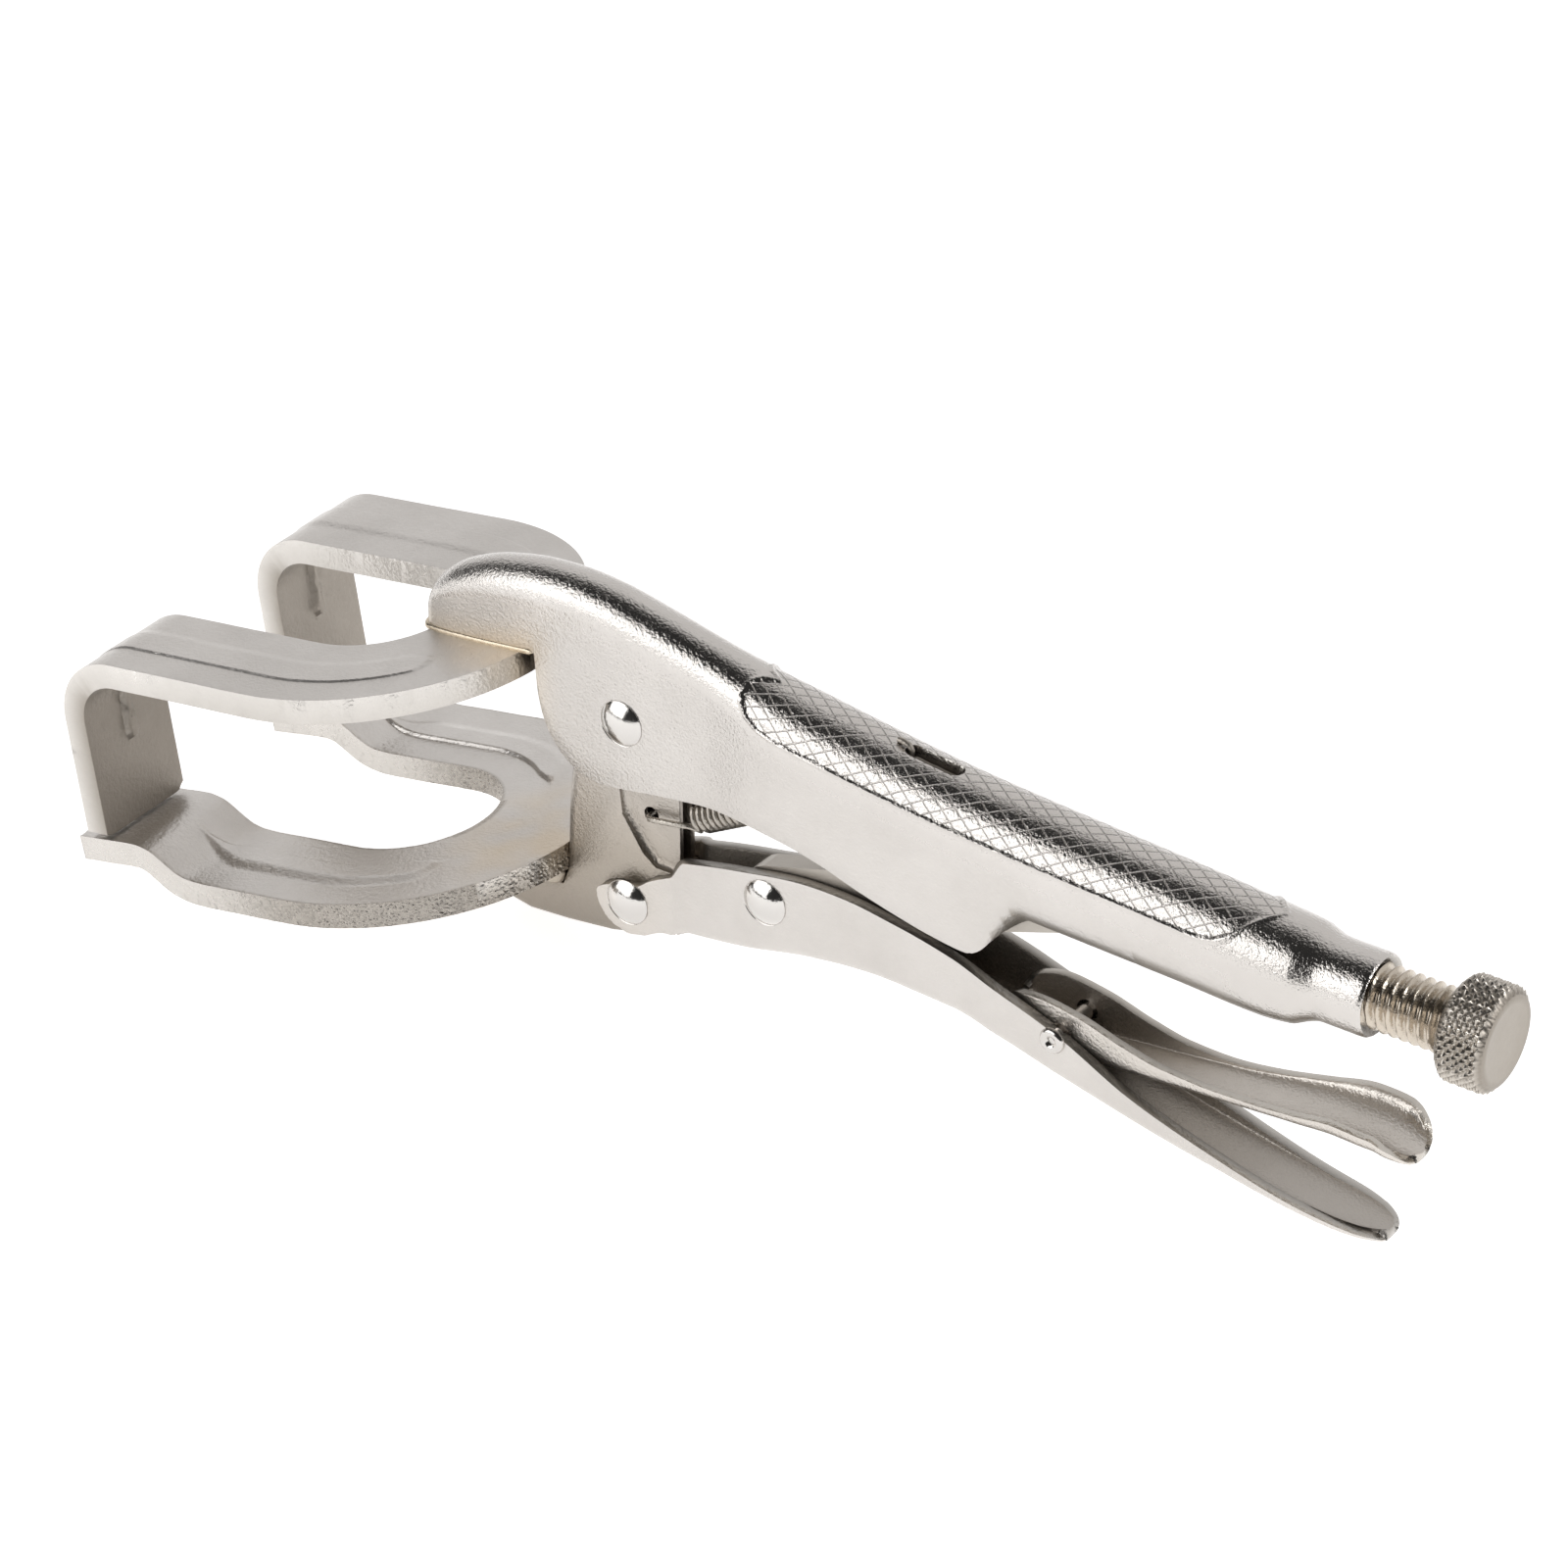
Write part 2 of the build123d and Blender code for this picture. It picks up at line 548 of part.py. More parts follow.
# ---------------------------------------------------------------- rivets and spring
def domed_rivet(place, half_grip, radius, head_radius, head_height):
    """A rivet along Y with two domed heads seated on faces at +-half_grip."""
    x, z = place
    ball = (head_radius ** 2 + head_height ** 2) / (2 * head_height)
    dome = Pos(0, 0, head_height - ball) * Sphere(ball)
    dome = dome & Pos(0, 0, head_height / 2) * Cylinder(head_radius, head_height)
    rivet = Cylinder(radius, 2 * half_grip) + Pos(0, 0, half_grip) * dome
    rivet = rivet + Pos(0, 0, -half_grip) * Rot(180, 0, 0) * dome
    return Pos(x, 0, z) * Rot(90, 0, 0) * rivet


def build_return_spring():
    """Tension spring: close coil, one hook in the bracket, one hook in the handle's slot."""
    x1, z1 = SPRING_COIL_START
    x2, z2 = SPRING_COIL_END
    length = hypot(x2 - x1, z2 - z1)
    turns = round(length / (SPRING_WIRE * 1.25))
    helix = Helix(length / turns, length, SPRING_RADIUS)
    place = Pos(x1, 0, z1) * Rot(0, degrees(atan2(x2 - x1, z2 - z1)), 0)
    start = Plane(origin=helix @ 0, z_dir=helix % 0)
    coil = place * sweep(start * Circle(SPRING_WIRE / 2), path=helix, is_frenet=True)
    front_end, rear_end = [(place * Pos(*(helix @ t))).position for t in (0, 1)]
    x, z = SPRING_HOLE
    side = BRACKET_WIDTH / 2 - PINCH_DEPTH + SPRING_WIRE
    front = Polyline((x - 0.3, side, z - 0.2), (x, -side, z), (x + 6.0, -side, z + 0.7),
                     (x1 - 1.2, 0, z1 - 1.0), front_end)
    anchor = SLOT_START + SPRING_WIRE
    rear = Polyline(rear_end, (x2 + 1.5, 0, z2 + 0.4), (anchor, 0, 6.6), (anchor, 0, 12.0),
                    (anchor - 2.6, 0, 12.2))
    spring = coil
    for path in (front, rear):
        plane = Plane(origin=path @ 0, z_dir=path % 0)
        wire = sweep(plane * Circle(SPRING_WIRE / 2), path=path, transition=Transition.ROUND)
        spring = spring + wire
    for end in (front_end, rear_end):
        spring = spring + Pos(*end) * Sphere(SPRING_WIRE * 0.52)
    return spring


def build_parts():
    """Every node of the tool, with the jaw pivot as origin."""
    pin_grip = CHANNEL_REAR_HALF_WIDTH
    rivet_size = (RIVET_RADIUS, RIVET_HEAD_RADIUS, RIVET_HEAD_HEIGHT)
    return {
        "upper_handle": build_upper_handle(),
        "upper_jaw_fork": build_upper_jaw_fork(),
        "upper_jaw_weld": build_upper_jaw_weld(),
        "lower_jaw_bracket": build_lower_jaw_bracket(),
        "lower_jaw_fork": build_lower_jaw_fork(),
        "lower_jaw_weld": build_lower_jaw_weld(),
        "lower_handle": build_lower_handle(),
        "toggle_link": build_toggle_link(),
        "release_lever": build_release_lever(),
        "adjusting_screw": build_adjusting_screw(),
        "adjusting_knob": build_adjusting_knob(),
        "jaw_pivot_rivet": domed_rivet((0, 0), NOSE_HALF_WIDTH, *rivet_size),
        "handle_pivot_rivet": domed_rivet(HANDLE_PIVOT, EAR_HALF_WIDTH, *rivet_size),
        "toggle_rivet": domed_rivet(TOGGLE_PIVOT, CHANNEL_HALF_WIDTH, *rivet_size),
        "release_pin": domed_rivet(RELEASE_PIVOT, pin_grip, RELEASE_PIN_RADIUS, RELEASE_PIN_HEAD, 0.7),
        "return_spring": build_return_spring(),
    }


def floor_origin(parts):
    """The bottom centre of the tool's bounding box."""
    boxes = [part.bounding_box() for part in parts.values()]
    low_x = min(box.min.X for box in boxes)
    high_x = max(box.max.X for box in boxes)
    return ((low_x + high_x) / 2, min(box.min.Z for box in boxes))


def main():
    """Build every node, set the tool on the floor and write one STEP file per node."""
    os.makedirs("parts", exist_ok=True)
    parts = build_parts()
    centre_x, floor_z = floor_origin(parts)
    for name, part in parts.items():
        export_step(Pos(-centre_x, 0, -floor_z) * part, f"parts/{name}.step")
    print(f"jaw pivot at x = {-centre_x:.3f}, z = {-floor_z:.3f}")


main()
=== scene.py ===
"""Locking welding pliers with U-shaped jaws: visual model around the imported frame."""
from __future__ import annotations

import json
import logging
import math
from dataclasses import dataclass
from enum import Enum
from typing import Callable, Iterable, Sequence

import bpy
from mathutils import Matrix, Vector, noise

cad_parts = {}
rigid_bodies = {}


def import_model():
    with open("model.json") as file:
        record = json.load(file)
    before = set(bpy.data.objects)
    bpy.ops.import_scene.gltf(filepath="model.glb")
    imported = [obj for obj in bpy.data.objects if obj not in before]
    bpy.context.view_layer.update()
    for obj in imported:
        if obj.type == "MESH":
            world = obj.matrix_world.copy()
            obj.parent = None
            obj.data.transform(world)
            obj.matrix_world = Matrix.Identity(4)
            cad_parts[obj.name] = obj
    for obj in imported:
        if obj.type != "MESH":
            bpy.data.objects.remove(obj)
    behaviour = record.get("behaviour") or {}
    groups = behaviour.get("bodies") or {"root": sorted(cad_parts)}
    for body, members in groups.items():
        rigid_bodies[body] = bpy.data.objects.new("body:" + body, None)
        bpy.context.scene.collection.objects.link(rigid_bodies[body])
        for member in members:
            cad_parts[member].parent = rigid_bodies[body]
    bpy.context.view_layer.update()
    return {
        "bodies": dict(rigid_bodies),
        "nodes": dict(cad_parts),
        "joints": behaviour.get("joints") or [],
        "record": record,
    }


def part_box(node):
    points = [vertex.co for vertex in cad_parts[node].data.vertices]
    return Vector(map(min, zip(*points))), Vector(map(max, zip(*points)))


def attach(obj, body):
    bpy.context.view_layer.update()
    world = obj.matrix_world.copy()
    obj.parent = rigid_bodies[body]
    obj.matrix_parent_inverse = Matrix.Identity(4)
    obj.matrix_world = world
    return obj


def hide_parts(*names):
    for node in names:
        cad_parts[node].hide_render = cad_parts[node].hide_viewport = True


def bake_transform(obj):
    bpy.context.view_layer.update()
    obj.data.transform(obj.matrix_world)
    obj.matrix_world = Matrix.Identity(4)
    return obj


LOG = logging.getLogger("pliers")
MM = 0.001
BODY_UPPER = "upper_body"
BODY_JAW = "lower_jaw"
BODY_ARM = "lower_arm"
SCREW_AXIS_Z = -1.9

Point = tuple[float, float]
Place = tuple[float, float, float]
Coat = tuple[float, ...]

RELEASE_PIN_AT: Point = (75.5, -24.7)


# ------------------------------------------------------------------ small maths
def clamp(value: float, low: float = 0.0, high: float = 1.0) -> float:
    """Hold a value between two limits."""
    return max(low, min(high, value))


def smooth(value: float, low: float, high: float) -> float:
    """Ease from 0 at low to 1 at high.

    Args:
        value: position to test.
        low: where the ease begins.
        high: where it ends.

    Returns:
        A number from 0 to 1.
    """
    if low == high:
        return 1.0 if value >= high else 0.0
    t = clamp((value - low) / (high - low))
    return t * t * (3.0 - 2.0 * t)


def curve_value(table: Sequence[Point], x: float) -> float:
    """Read a smooth curve through (x, value) stations.

    Args:
        table: stations in rising x.
        x: where to read.

    Returns:
        The value, by monotone cubic interpolation.
    """
    if x <= table[0][0]:
        return table[0][1]
    if x >= table[-1][0]:
        return table[-1][1]
    i = max(k for k in range(len(table) - 1) if table[k][0] <= x)

    def slope(k: int) -> float:
        """Monotone slope at one station."""
        if k == 0 or k == len(table) - 1:
            j = min(k, len(table) - 2)
            return (table[j + 1][1] - table[j][1]) / (table[j + 1][0] - table[j][0])
        before = (table[k][1] - table[k - 1][1]) / (table[k][0] - table[k - 1][0])
        after = (table[k + 1][1] - table[k][1]) / (table[k + 1][0] - table[k][0])
        if before * after <= 0.0:
            return 0.0
        return 2.0 * before * after / (before + after)

    (x0, y0), (x1, y1) = table[i], table[i + 1]
    h = x1 - x0
    t = (x - x0) / h
    return ((1 + 2 * t) * (1 - t) ** 2 * y0 + t * (1 - t) ** 2 * h * slope(i)
            + t * t * (3 - 2 * t) * y1 + t * t * (t - 1) * h * slope(i + 1))


def resample(path: Sequence[Point], count: int) -> list[Point]:
    """Spread points evenly along a polyline.

    Args:
        path: corner points.
        count: how many points to return.

    Returns:
        Evenly spaced points from the first corner to the last.
    """
    lengths = [math.dist(a, b) for a, b in zip(path, path[1:])]
    total = sum(lengths)
    result: list[Point] = []
    k = 0
    passed = 0.0
    for n in range(count):
        target = total * n / (count - 1)
        while k < len(lengths) - 1 and passed + lengths[k] < target:
            passed += lengths[k]
            k += 1
        t = clamp((target - passed) / lengths[k]) if lengths[k] > 0 else 0.0
        a, b = path[k], path[k + 1]
        result.append((a[0] + (b[0] - a[0]) * t, a[1] + (b[1] - a[1]) * t))
    return result


def arc(centre: Point, radius: float, start: float, end: float, steps: int) -> list[Point]:
    """Points along a circular arc, angles in degrees.

    Args:
        centre: the arc's centre.
        radius: its radius.
        start: angle of the first point.
        end: angle of the last point.
        steps: how many spaces between points.

    Returns:
        The points in order.
    """
    points = []
    for n in range(steps + 1):
        turn = math.radians(start + (end - start) * n / steps)
        points.append((centre[0] + radius * math.cos(turn), centre[1] + radius * math.sin(turn)))
    return points


def seg_distance(p: Point, a: Point, b: Point) -> float:
    """Distance from a point to a segment.

    Args:
        p: the point.
        a: one end.
        b: the other end.

    Returns:
        The shortest distance.
    """
    ax, ay = b[0] - a[0], b[1] - a[1]
    t = clamp(((p[0] - a[0]) * ax + (p[1] - a[1]) * ay) / max(ax * ax + ay * ay, 1e-12))
    return math.hypot(p[0] - a[0] - t * ax, p[1] - a[1] - t * ay)


def path_distance(p: Point, path: Sequence[Point]) -> float:
    """Distance from a point to a polyline."""
    return min(seg_distance(p, a, b) for a, b in zip(path, path[1:]))


def rumble(x: float, y: float, z: float, scale: float) -> float:
    """Smooth noise from -1 to 1 at a place in millimetres."""
    return noise.noise(Vector((x * scale, y * scale, z * scale)))


# ------------------------------------------------------------------ shader maths
class Sock:
    """A shader socket or plain number that adds Math nodes when it is used in an expression."""

    def __init__(self, graph: "Graph", value: object) -> None:
        """Keep the graph and the socket or number."""
        self.graph = graph
        self.value = value

    def _math(self, kind: str, *others: object) -> "Sock":
        """Add one Math node of the given kind."""
        return self.graph.node("ShaderNodeMath", {"operation": kind}, (self, *others))

    def __add__(self, other: object) -> "Sock":
        """Sum."""
        return self._math("ADD", other)

    def __radd__(self, other: object) -> "Sock":
        """Sum with a number in front."""
        return self._math("ADD", other)

    def __sub__(self, other: object) -> "Sock":
        """Difference."""
        return self._math("SUBTRACT", other)

    def __rsub__(self, other: object) -> "Sock":
        """Difference with a number in front."""
        return self.graph.node("ShaderNodeMath", {"operation": "SUBTRACT"}, (other, self))

    def __mul__(self, other: object) -> "Sock":
        """Product."""
        return self._math("MULTIPLY", other)

    def __rmul__(self, other: object) -> "Sock":
        """Product with a number in front."""
        return self._math("MULTIPLY", other)

    def ease(self, low: float, high: float) -> "Sock":
        """Smooth step from 0 at low to 1 at high.

        Args:
            low: where the step begins.
            high: where it ends.

        Returns:
            The eased value.
        """
        node = self.graph.raw("ShaderNodeMapRange", {"interpolation_type": "SMOOTHSTEP"})
        self.graph.feed(node.inputs[0], self)
        node.inputs[1].default_value = low
        node.inputs[2].default_value = high
        return Sock(self.graph, node.outputs[0])


class Graph:
    """Builds one material's nodes."""

    def __init__(self, name: str) -> None:
        """Make the material with a Principled surface.

        Args:
            name: the material's name.
        """
        self.material = bpy.data.materials.new(name)
        self.material.use_nodes = True
        self.tree = self.material.node_tree
        self.tree.nodes.clear()
        output = self.raw("ShaderNodeOutputMaterial", {})
        self.surface = self.raw("ShaderNodeBsdfPrincipled", {})
        self.tree.links.new(self.surface.outputs[0], output.inputs[0])
        place = self.raw("ShaderNodeTexCoord", {})
        self.place = Sock(self, place.outputs["Object"])

    def raw(self, kind: str, settings: dict[str, object]) -> bpy.types.Node:
        """Add a node and set its settings.

        Args:
            kind: the node's type.
            settings: its settings.

        Returns:
            The node.
        """
        node = self.tree.nodes.new(kind)
        for key, value in settings.items():
            setattr(node, key, value)
        return node

    def feed(self, target: bpy.types.NodeSocket, value: object) -> None:
        """Link or set one input socket.

        Args:
            target: the socket.
            value: a wrapped output, a value or None.
        """
        if isinstance(value, Sock):
            self.tree.links.new(value.value, target)
        elif value is not None:
            target.default_value = value

    def node(self, kind: str, settings: dict[str, object], values: Iterable[object] | dict,
             output: int | str = 0) -> Sock:
        """Add any node.

        Args:
            kind: the node's type.
            settings: its settings, set first.
            values: values or links of its sockets, in order or by name.
            output: which output to return.

        Returns:
            The output, wrapped.
        """
        node = self.raw(kind, settings)
        pairs = values.items() if isinstance(values, dict) else enumerate(values)
        for key, value in pairs:
            self.feed(node.inputs[key], value)
        return Sock(self, node.outputs[output])

    def noise(self, scale: float, detail: float, rough: float) -> Sock:
        """Noise on Object coordinates, scale in waves per metre."""
        return self.node("ShaderNodeTexNoise", {}, {
            "Vector": self.place, "Scale": scale, "Detail": detail, "Roughness": rough})

    def cells(self, scale: float) -> Sock:
        """Distance to the nearest cell centre of a Voronoi pattern."""
        return self.node("ShaderNodeTexVoronoi", {}, {"Vector": self.place, "Scale": scale})

    def mask(self, channel: str) -> Sock:
        """One channel of the painted vertex attribute.

        Args:
            channel: Red, Green or Blue.

        Returns:
            The channel, wrapped.
        """
        node = self.raw("ShaderNodeAttribute", {"attribute_name": "finish"})
        split = self.raw("ShaderNodeSeparateColor", {})
        self.tree.links.new(node.outputs["Color"], split.inputs[0])
        return Sock(self, split.outputs[channel])

    def crossed_grooves(self, step: float, steps: int, gaps: int) -> Sock:
        """Height of the crossed grooves, crisp between the mesh's vertices.

        Args:
            step: distance between the grid's columns in millimetres.
            steps: columns between two grooves.
            gaps: rows of faces round the handle.

        Returns:
            0 in a groove of the painted panel and 1 elsewhere.
        """
        along = self.node("ShaderNodeSeparateXYZ", {}, (self.place,), "X") * (1.0 / MM / step)
        chart = Sock(self, self.raw("ShaderNodeUVMap", {}).outputs["UV"])
        across = (self.node("ShaderNodeSeparateXYZ", {}, (chart,), "Y") - 0.5) * float(gaps)
        along = along - BENCH.pivot_x / step
        height = None
        for phase in ((along + across) * (1.0 / steps), (along - across) * (1.0 / steps)):
            away = self.node("ShaderNodeMath", {"operation": "PINGPONG"}, (phase, 0.5))
            away = away.ease(0.012, 0.062)
            height = away if height is None else height * away
        painted = self.raw("ShaderNodeAttribute", {"attribute_name": "finish"})
        return 1.0 - (1.0 - height) * Sock(self, painted.outputs["Alpha"])

    def mix(self, factor: Sock, first: object, second: object) -> Sock:
        """Blend two colours.

        Args:
            factor: 0 for the first and 1 for the second.
            first: a colour or a link.
            second: a colour or a link.

        Returns:
            The blended colour.
        """
        node = self.raw("ShaderNodeMix", {"data_type": "RGBA"})
        self.feed(node.inputs[0], factor)
        self.feed(node.inputs[6], rgba(first))
        self.feed(node.inputs[7], rgba(second))
        return Sock(self, node.outputs[2])

    def bump(self, height: Sock, strength: float, depth: float, below: Sock | None = None) -> Sock:
        """Bump from a height, depth in metres.

        Args:
            height: the surface's height from 0 to 1.
            strength: how strongly it shows.
            depth: what a height of 1 stands for.
            below: a normal to add it to.

        Returns:
            The bumped normal.
        """
        values = {"Strength": strength, "Distance": depth, "Height": height}
        if below is not None:
            values["Normal"] = below
        return self.node("ShaderNodeBump", {}, values)

    def finish(self, **values: object) -> bpy.types.Material:
        """Set the surface's sockets by name, with _ for a space.

        Args:
            values: values or links by socket name.

        Returns:
            The finished material.
        """
        for key, value in values.items():
            self.feed(self.surface.inputs[key.replace("_", " ")], value)
        return self.material


def rgba(colour: object) -> object:
    """Add the fourth value to a plain colour."""
    if isinstance(colour, tuple) and len(colour) == 3:
        return (*colour, 1.0)
    return colour


class Look(Enum):
    """The finishes of the tool."""

    PRESSED = "pressed_nickel"
    GRIP = "grip_nickel"
    TORN = "torn_edge"
    PLATE = "plate_nickel"
    SHEARED = "sheared_edge"
    INSIDE = "dull_inside"
    BRAZED = "brazed_gold"
    POLISHED = "polished_rivet"
    THREAD = "dull_thread"
    KNURL = "knurled_nickel"
    WIRE = "spring_wire"


@dataclass(frozen=True)
class Nickel:
    """One nickel-plated steel finish."""

    colour: tuple[float, float, float] = (0.665, 0.635, 0.605)
    shade: tuple[float, float, float] = (0.56, 0.53, 0.50)
    rough: float = 0.34
    rough_polished: float = 0.16
    pebble_scale: float = 2200.0
    pebble_depth: float = 0.0002
    pebble_strength: float = 0.6
    grooves: bool = False
    pit_depth: float = 0.0
    groove_cut: float = 0.00014
    cloud_scale: float = 55.0
    broad_scale: float = 420.0
    pit_scale: float = 1500.0
    tear_scale: float = 1000.0
    gold: tuple[float, float, float] = (0.70, 0.58, 0.42)
    # Colour the Blue channel blends towards: painted shade on hollows, inner faces, undersides and hidden
    # faces, and real dirt on the lower fork's torn edges.
    shade_and_grime_colour: tuple[float, float, float] = (0.33, 0.295, 0.255)

    def build(self, name: str) -> bpy.types.Material:
        """Build the material.

        Args:
            name: its name.

        Returns:
            The material, reading Object coordinates and the painted attribute.
        """
        g = Graph(name)
        polish, tint, grime_and_shade = g.mask("Red"), g.mask("Green"), g.mask("Blue")
        cloud = g.noise(self.cloud_scale, 4.0, 0.6).ease(0.32, 0.68)
        fleck = g.noise(self.pebble_scale, 2.0, 0.6)
        broad = g.noise(self.broad_scale, 3.0, 0.6)
        colour = g.mix(cloud * 0.35 + broad * 0.25, self.colour, self.shade)
        colour = g.mix(tint, colour, self.gold)
        # Blue channel: darkens towards that colour, which is painted shade on most pieces and dirt on the
        # lower fork's torn edges.
        colour = g.mix(grime_and_shade, colour, self.shade_and_grime_colour)
        spread = self.rough_polished - self.rough
        rough = self.rough + polish * spread
        rough = rough + (fleck - 0.5) * 0.14 + (cloud - 0.5) * 0.05 + grime_and_shade * 0.16
        height = fleck + broad * 0.2
        normal = g.bump(height, self.pebble_strength, self.pebble_depth)
        if self.pit_depth > 0.0:
            pits = g.cells(self.pit_scale).ease(0.0, 0.75)
            torn = g.noise(self.tear_scale, 4.0, 0.75)
            torn = (pits * 0.6 + torn) * (polish * 0.94 + 0.06)
            normal = g.bump(torn, 0.9, self.pit_depth, normal)
        if self.grooves:
            cut = g.crossed_grooves(UpperHandle.groove_step, UpperHandle.groove_steps,
                                    UpperHandle.row_gaps())
            normal = g.bump(cut, 1.0, self.groove_cut, normal)
        return g.finish(Base_Color=colour, Metallic=1.0, Roughness=rough, Normal=normal)


FINISHES: dict[Look, Nickel] = {
    Look.PRESSED: Nickel(),
    Look.GRIP: Nickel(grooves=True),
    Look.PLATE: Nickel(colour=(0.70, 0.67, 0.64), shade=(0.60, 0.57, 0.54), rough=0.37,
                       pebble_scale=1500.0, pebble_depth=0.00022, pebble_strength=0.5),
    # The sheared edges blend towards near black: painted shade, made for the rim faces down in the spring
    # slot; it also darkens the bracket's rim faces.
    Look.SHEARED: Nickel(colour=(0.62, 0.595, 0.56), shade=(0.44, 0.42, 0.39), rough=0.32,
                         pebble_scale=1500.0, pebble_depth=0.0002, pebble_strength=0.6,
                         shade_and_grime_colour=(0.10, 0.085, 0.07)),
    Look.TORN: Nickel(colour=(0.72, 0.69, 0.655), shade=(0.54, 0.515, 0.48), rough=0.30,
                      pebble_scale=1500.0, pebble_depth=0.0002, pebble_strength=0.6, pit_depth=0.00042),
    Look.INSIDE: Nickel(colour=(0.50, 0.465, 0.42), shade=(0.38, 0.35, 0.315), rough=0.42,
                        pebble_scale=1500.0, pebble_depth=0.00006, pebble_strength=0.5),
    Look.BRAZED: Nickel(colour=(0.66, 0.58, 0.46), shade=(0.55, 0.50, 0.43), rough=0.30,
                        pebble_scale=1100.0, pebble_depth=0.0001, pebble_strength=0.5),
    Look.POLISHED: Nickel(colour=(0.69, 0.665, 0.64), shade=(0.62, 0.60, 0.57), rough=0.13,
                          rough_polished=0.10, pebble_strength=0.10),
    Look.THREAD: Nickel(colour=(0.56, 0.51, 0.45), shade=(0.46, 0.42, 0.37), rough=0.30,
                        pebble_scale=1600.0, pebble_strength=0.35),
    Look.KNURL: Nickel(colour=(0.60, 0.575, 0.545), shade=(0.47, 0.45, 0.42), rough=0.30,
                       pebble_scale=1500.0, pebble_depth=0.00006, pebble_strength=0.45),
    Look.WIRE: Nickel(colour=(0.50, 0.475, 0.44), shade=(0.40, 0.375, 0.34), rough=0.28),
}


class Paintbox:
    """Makes each finish once and hands it out."""

    def __init__(self) -> None:
        """Start with no materials."""
        self.made: dict[Look, bpy.types.Material] = {}

    def get(self, look: Look) -> bpy.types.Material:
        """Return the material of a finish, building it the first time."""
        if look not in self.made:
            self.made[look] = FINISHES[look].build(look.value)
        return self.made[look]


PAINT = Paintbox()


# ------------------------------------------------------------------ mesh helpers
@dataclass
class Bench:
    """Where the jaw pivot is, and the change between millimetres from it and the frame's metres."""

    pivot_x: float = 0.0
    pivot_z: float = 0.0

    def locate(self) -> None:
        """Read the jaw pivot's place from the frame, in millimetres."""
        low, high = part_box("jaw_pivot_rivet")
        self.pivot_x = (low[0] + high[0]) / 2 / MM
        self.pivot_z = (low[2] + high[2]) / 2 / MM

    def metres(self, place: Place) -> Vector:
        """Turn a place in millimetres from the jaw pivot into the frame's metres."""
        x, y, z = place
        return Vector(((x + self.pivot_x) * MM, y * MM, (z + self.pivot_z) * MM))

    def local(self, place: Sequence[float]) -> Place:
        """Turn a place in the frame's metres into millimetres from the jaw pivot."""
        x, y, z = place
        return (x / MM - self.pivot_x, y / MM, z / MM - self.pivot_z)


BENCH = Bench()


def deselect() -> None:
    """Leave edit mode and select nothing."""
    if bpy.context.object is not None and bpy.context.object.mode != "OBJECT":
        bpy.ops.object.mode_set(mode="OBJECT")
    bpy.ops.object.select_all(action="DESELECT")


def pick(obj: bpy.types.Object) -> None:
    """Select one object alone and make it active."""
    deselect()
    obj.select_set(True)
    bpy.context.view_layer.objects.active = obj


def named(name: str) -> bpy.types.Object:
    """Name the object just made and its mesh."""
    obj = bpy.context.object
    obj.name = name
    obj.data.name = name
    return obj


def modify(obj: bpy.types.Object, kind: str, **settings: object) -> None:
    """Add a modifier, set it and apply it.

    Args:
        obj: the piece.
        kind: the modifier's type.
        settings: its settings.
    """
    pick(obj)
    modifier = obj.modifiers.new(kind.title(), kind)
    for key, value in settings.items():
        setattr(modifier, key, value)
    bpy.ops.object.modifier_apply(modifier=modifier.name)


def soften(obj: bpy.types.Object, degrees: float = 35.0) -> None:
    """Smooth shading except across sharp edges.

    Args:
        obj: the piece.
        degrees: the angle of a sharp edge.
    """
    pick(obj)
    bpy.ops.object.shade_smooth_by_angle(angle=math.radians(degrees))


def dress(obj: bpy.types.Object, *looks: Look) -> None:
    """Give a piece its finishes, one slot each.

    Args:
        obj: the piece.
        looks: its finishes in slot order.
    """
    obj.data.materials.clear()
    for look in looks:
        obj.data.materials.append(PAINT.get(look))


def paint(obj: bpy.types.Object, recipe: Callable[[Place], Coat]) -> None:
    """Paint the attribute that the finishes read.

    Args:
        obj: the piece.
        recipe: gives (polish, golden tint, darkening by painted shade and dirt), and for grooves a fourth
            value, at a place in millimetres from the jaw pivot.
    """
    layer = obj.data.color_attributes.new("finish", "FLOAT_COLOR", "POINT")
    values: list[float] = []
    for vertex in obj.data.vertices:
        values.extend((*recipe(BENCH.local(vertex.co)), 1.0)[:4])
    layer.data.foreach_set("color", values)


def plain(_place: Place) -> Coat:
    """A recipe for a finish that is the same all over."""
    return (0.0, 0.0, 0.0)


def hand_over(obj: bpy.types.Object, body: str, slot: str, *nodes: str) -> bpy.types.Object:
    """Tell the frame what a finished piece rides on and replaces.

    Args:
        obj: the piece.
        body: the body it moves with.
        slot: the record's material slot; not used.
        nodes: the CAD nodes it stands for.

    Returns:
        The piece.
    """
    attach(obj, body)
    if nodes:
        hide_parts(*nodes)
    LOG.info("%s: %d faces on %s", obj.name, len(obj.data.polygons), body)
    return obj


def sheet_grid(name: str, columns: int, rows: int, place: Callable[[int, int], Place],
               turned: bool = False) -> bpy.types.Object:
    """A grid primitive laid over a formed surface.

    Args:
        name: the piece's name.
        columns: how many points along.
        rows: how many points across.
        place: gives the place in millimetres of one (column, row).
        turned: turn the faces the other way.

    Returns:
        The open sheet.
    """
    deselect()
    bpy.ops.mesh.primitive_grid_add(x_subdivisions=columns - 1, y_subdivisions=rows - 1, size=1.0)
    obj = named(name)
    for vertex in obj.data.vertices:
        column = round((vertex.co.x + 0.5) * (columns - 1))
        row = round((vertex.co.y + 0.5) * (rows - 1))
        vertex.co = BENCH.metres(place(column, row))
    if turned:
        pick(obj)
        bpy.ops.object.mode_set(mode="EDIT")
        bpy.ops.mesh.select_all(action="SELECT")
        bpy.ops.mesh.flip_normals()
        bpy.ops.object.mode_set(mode="OBJECT")
    return obj


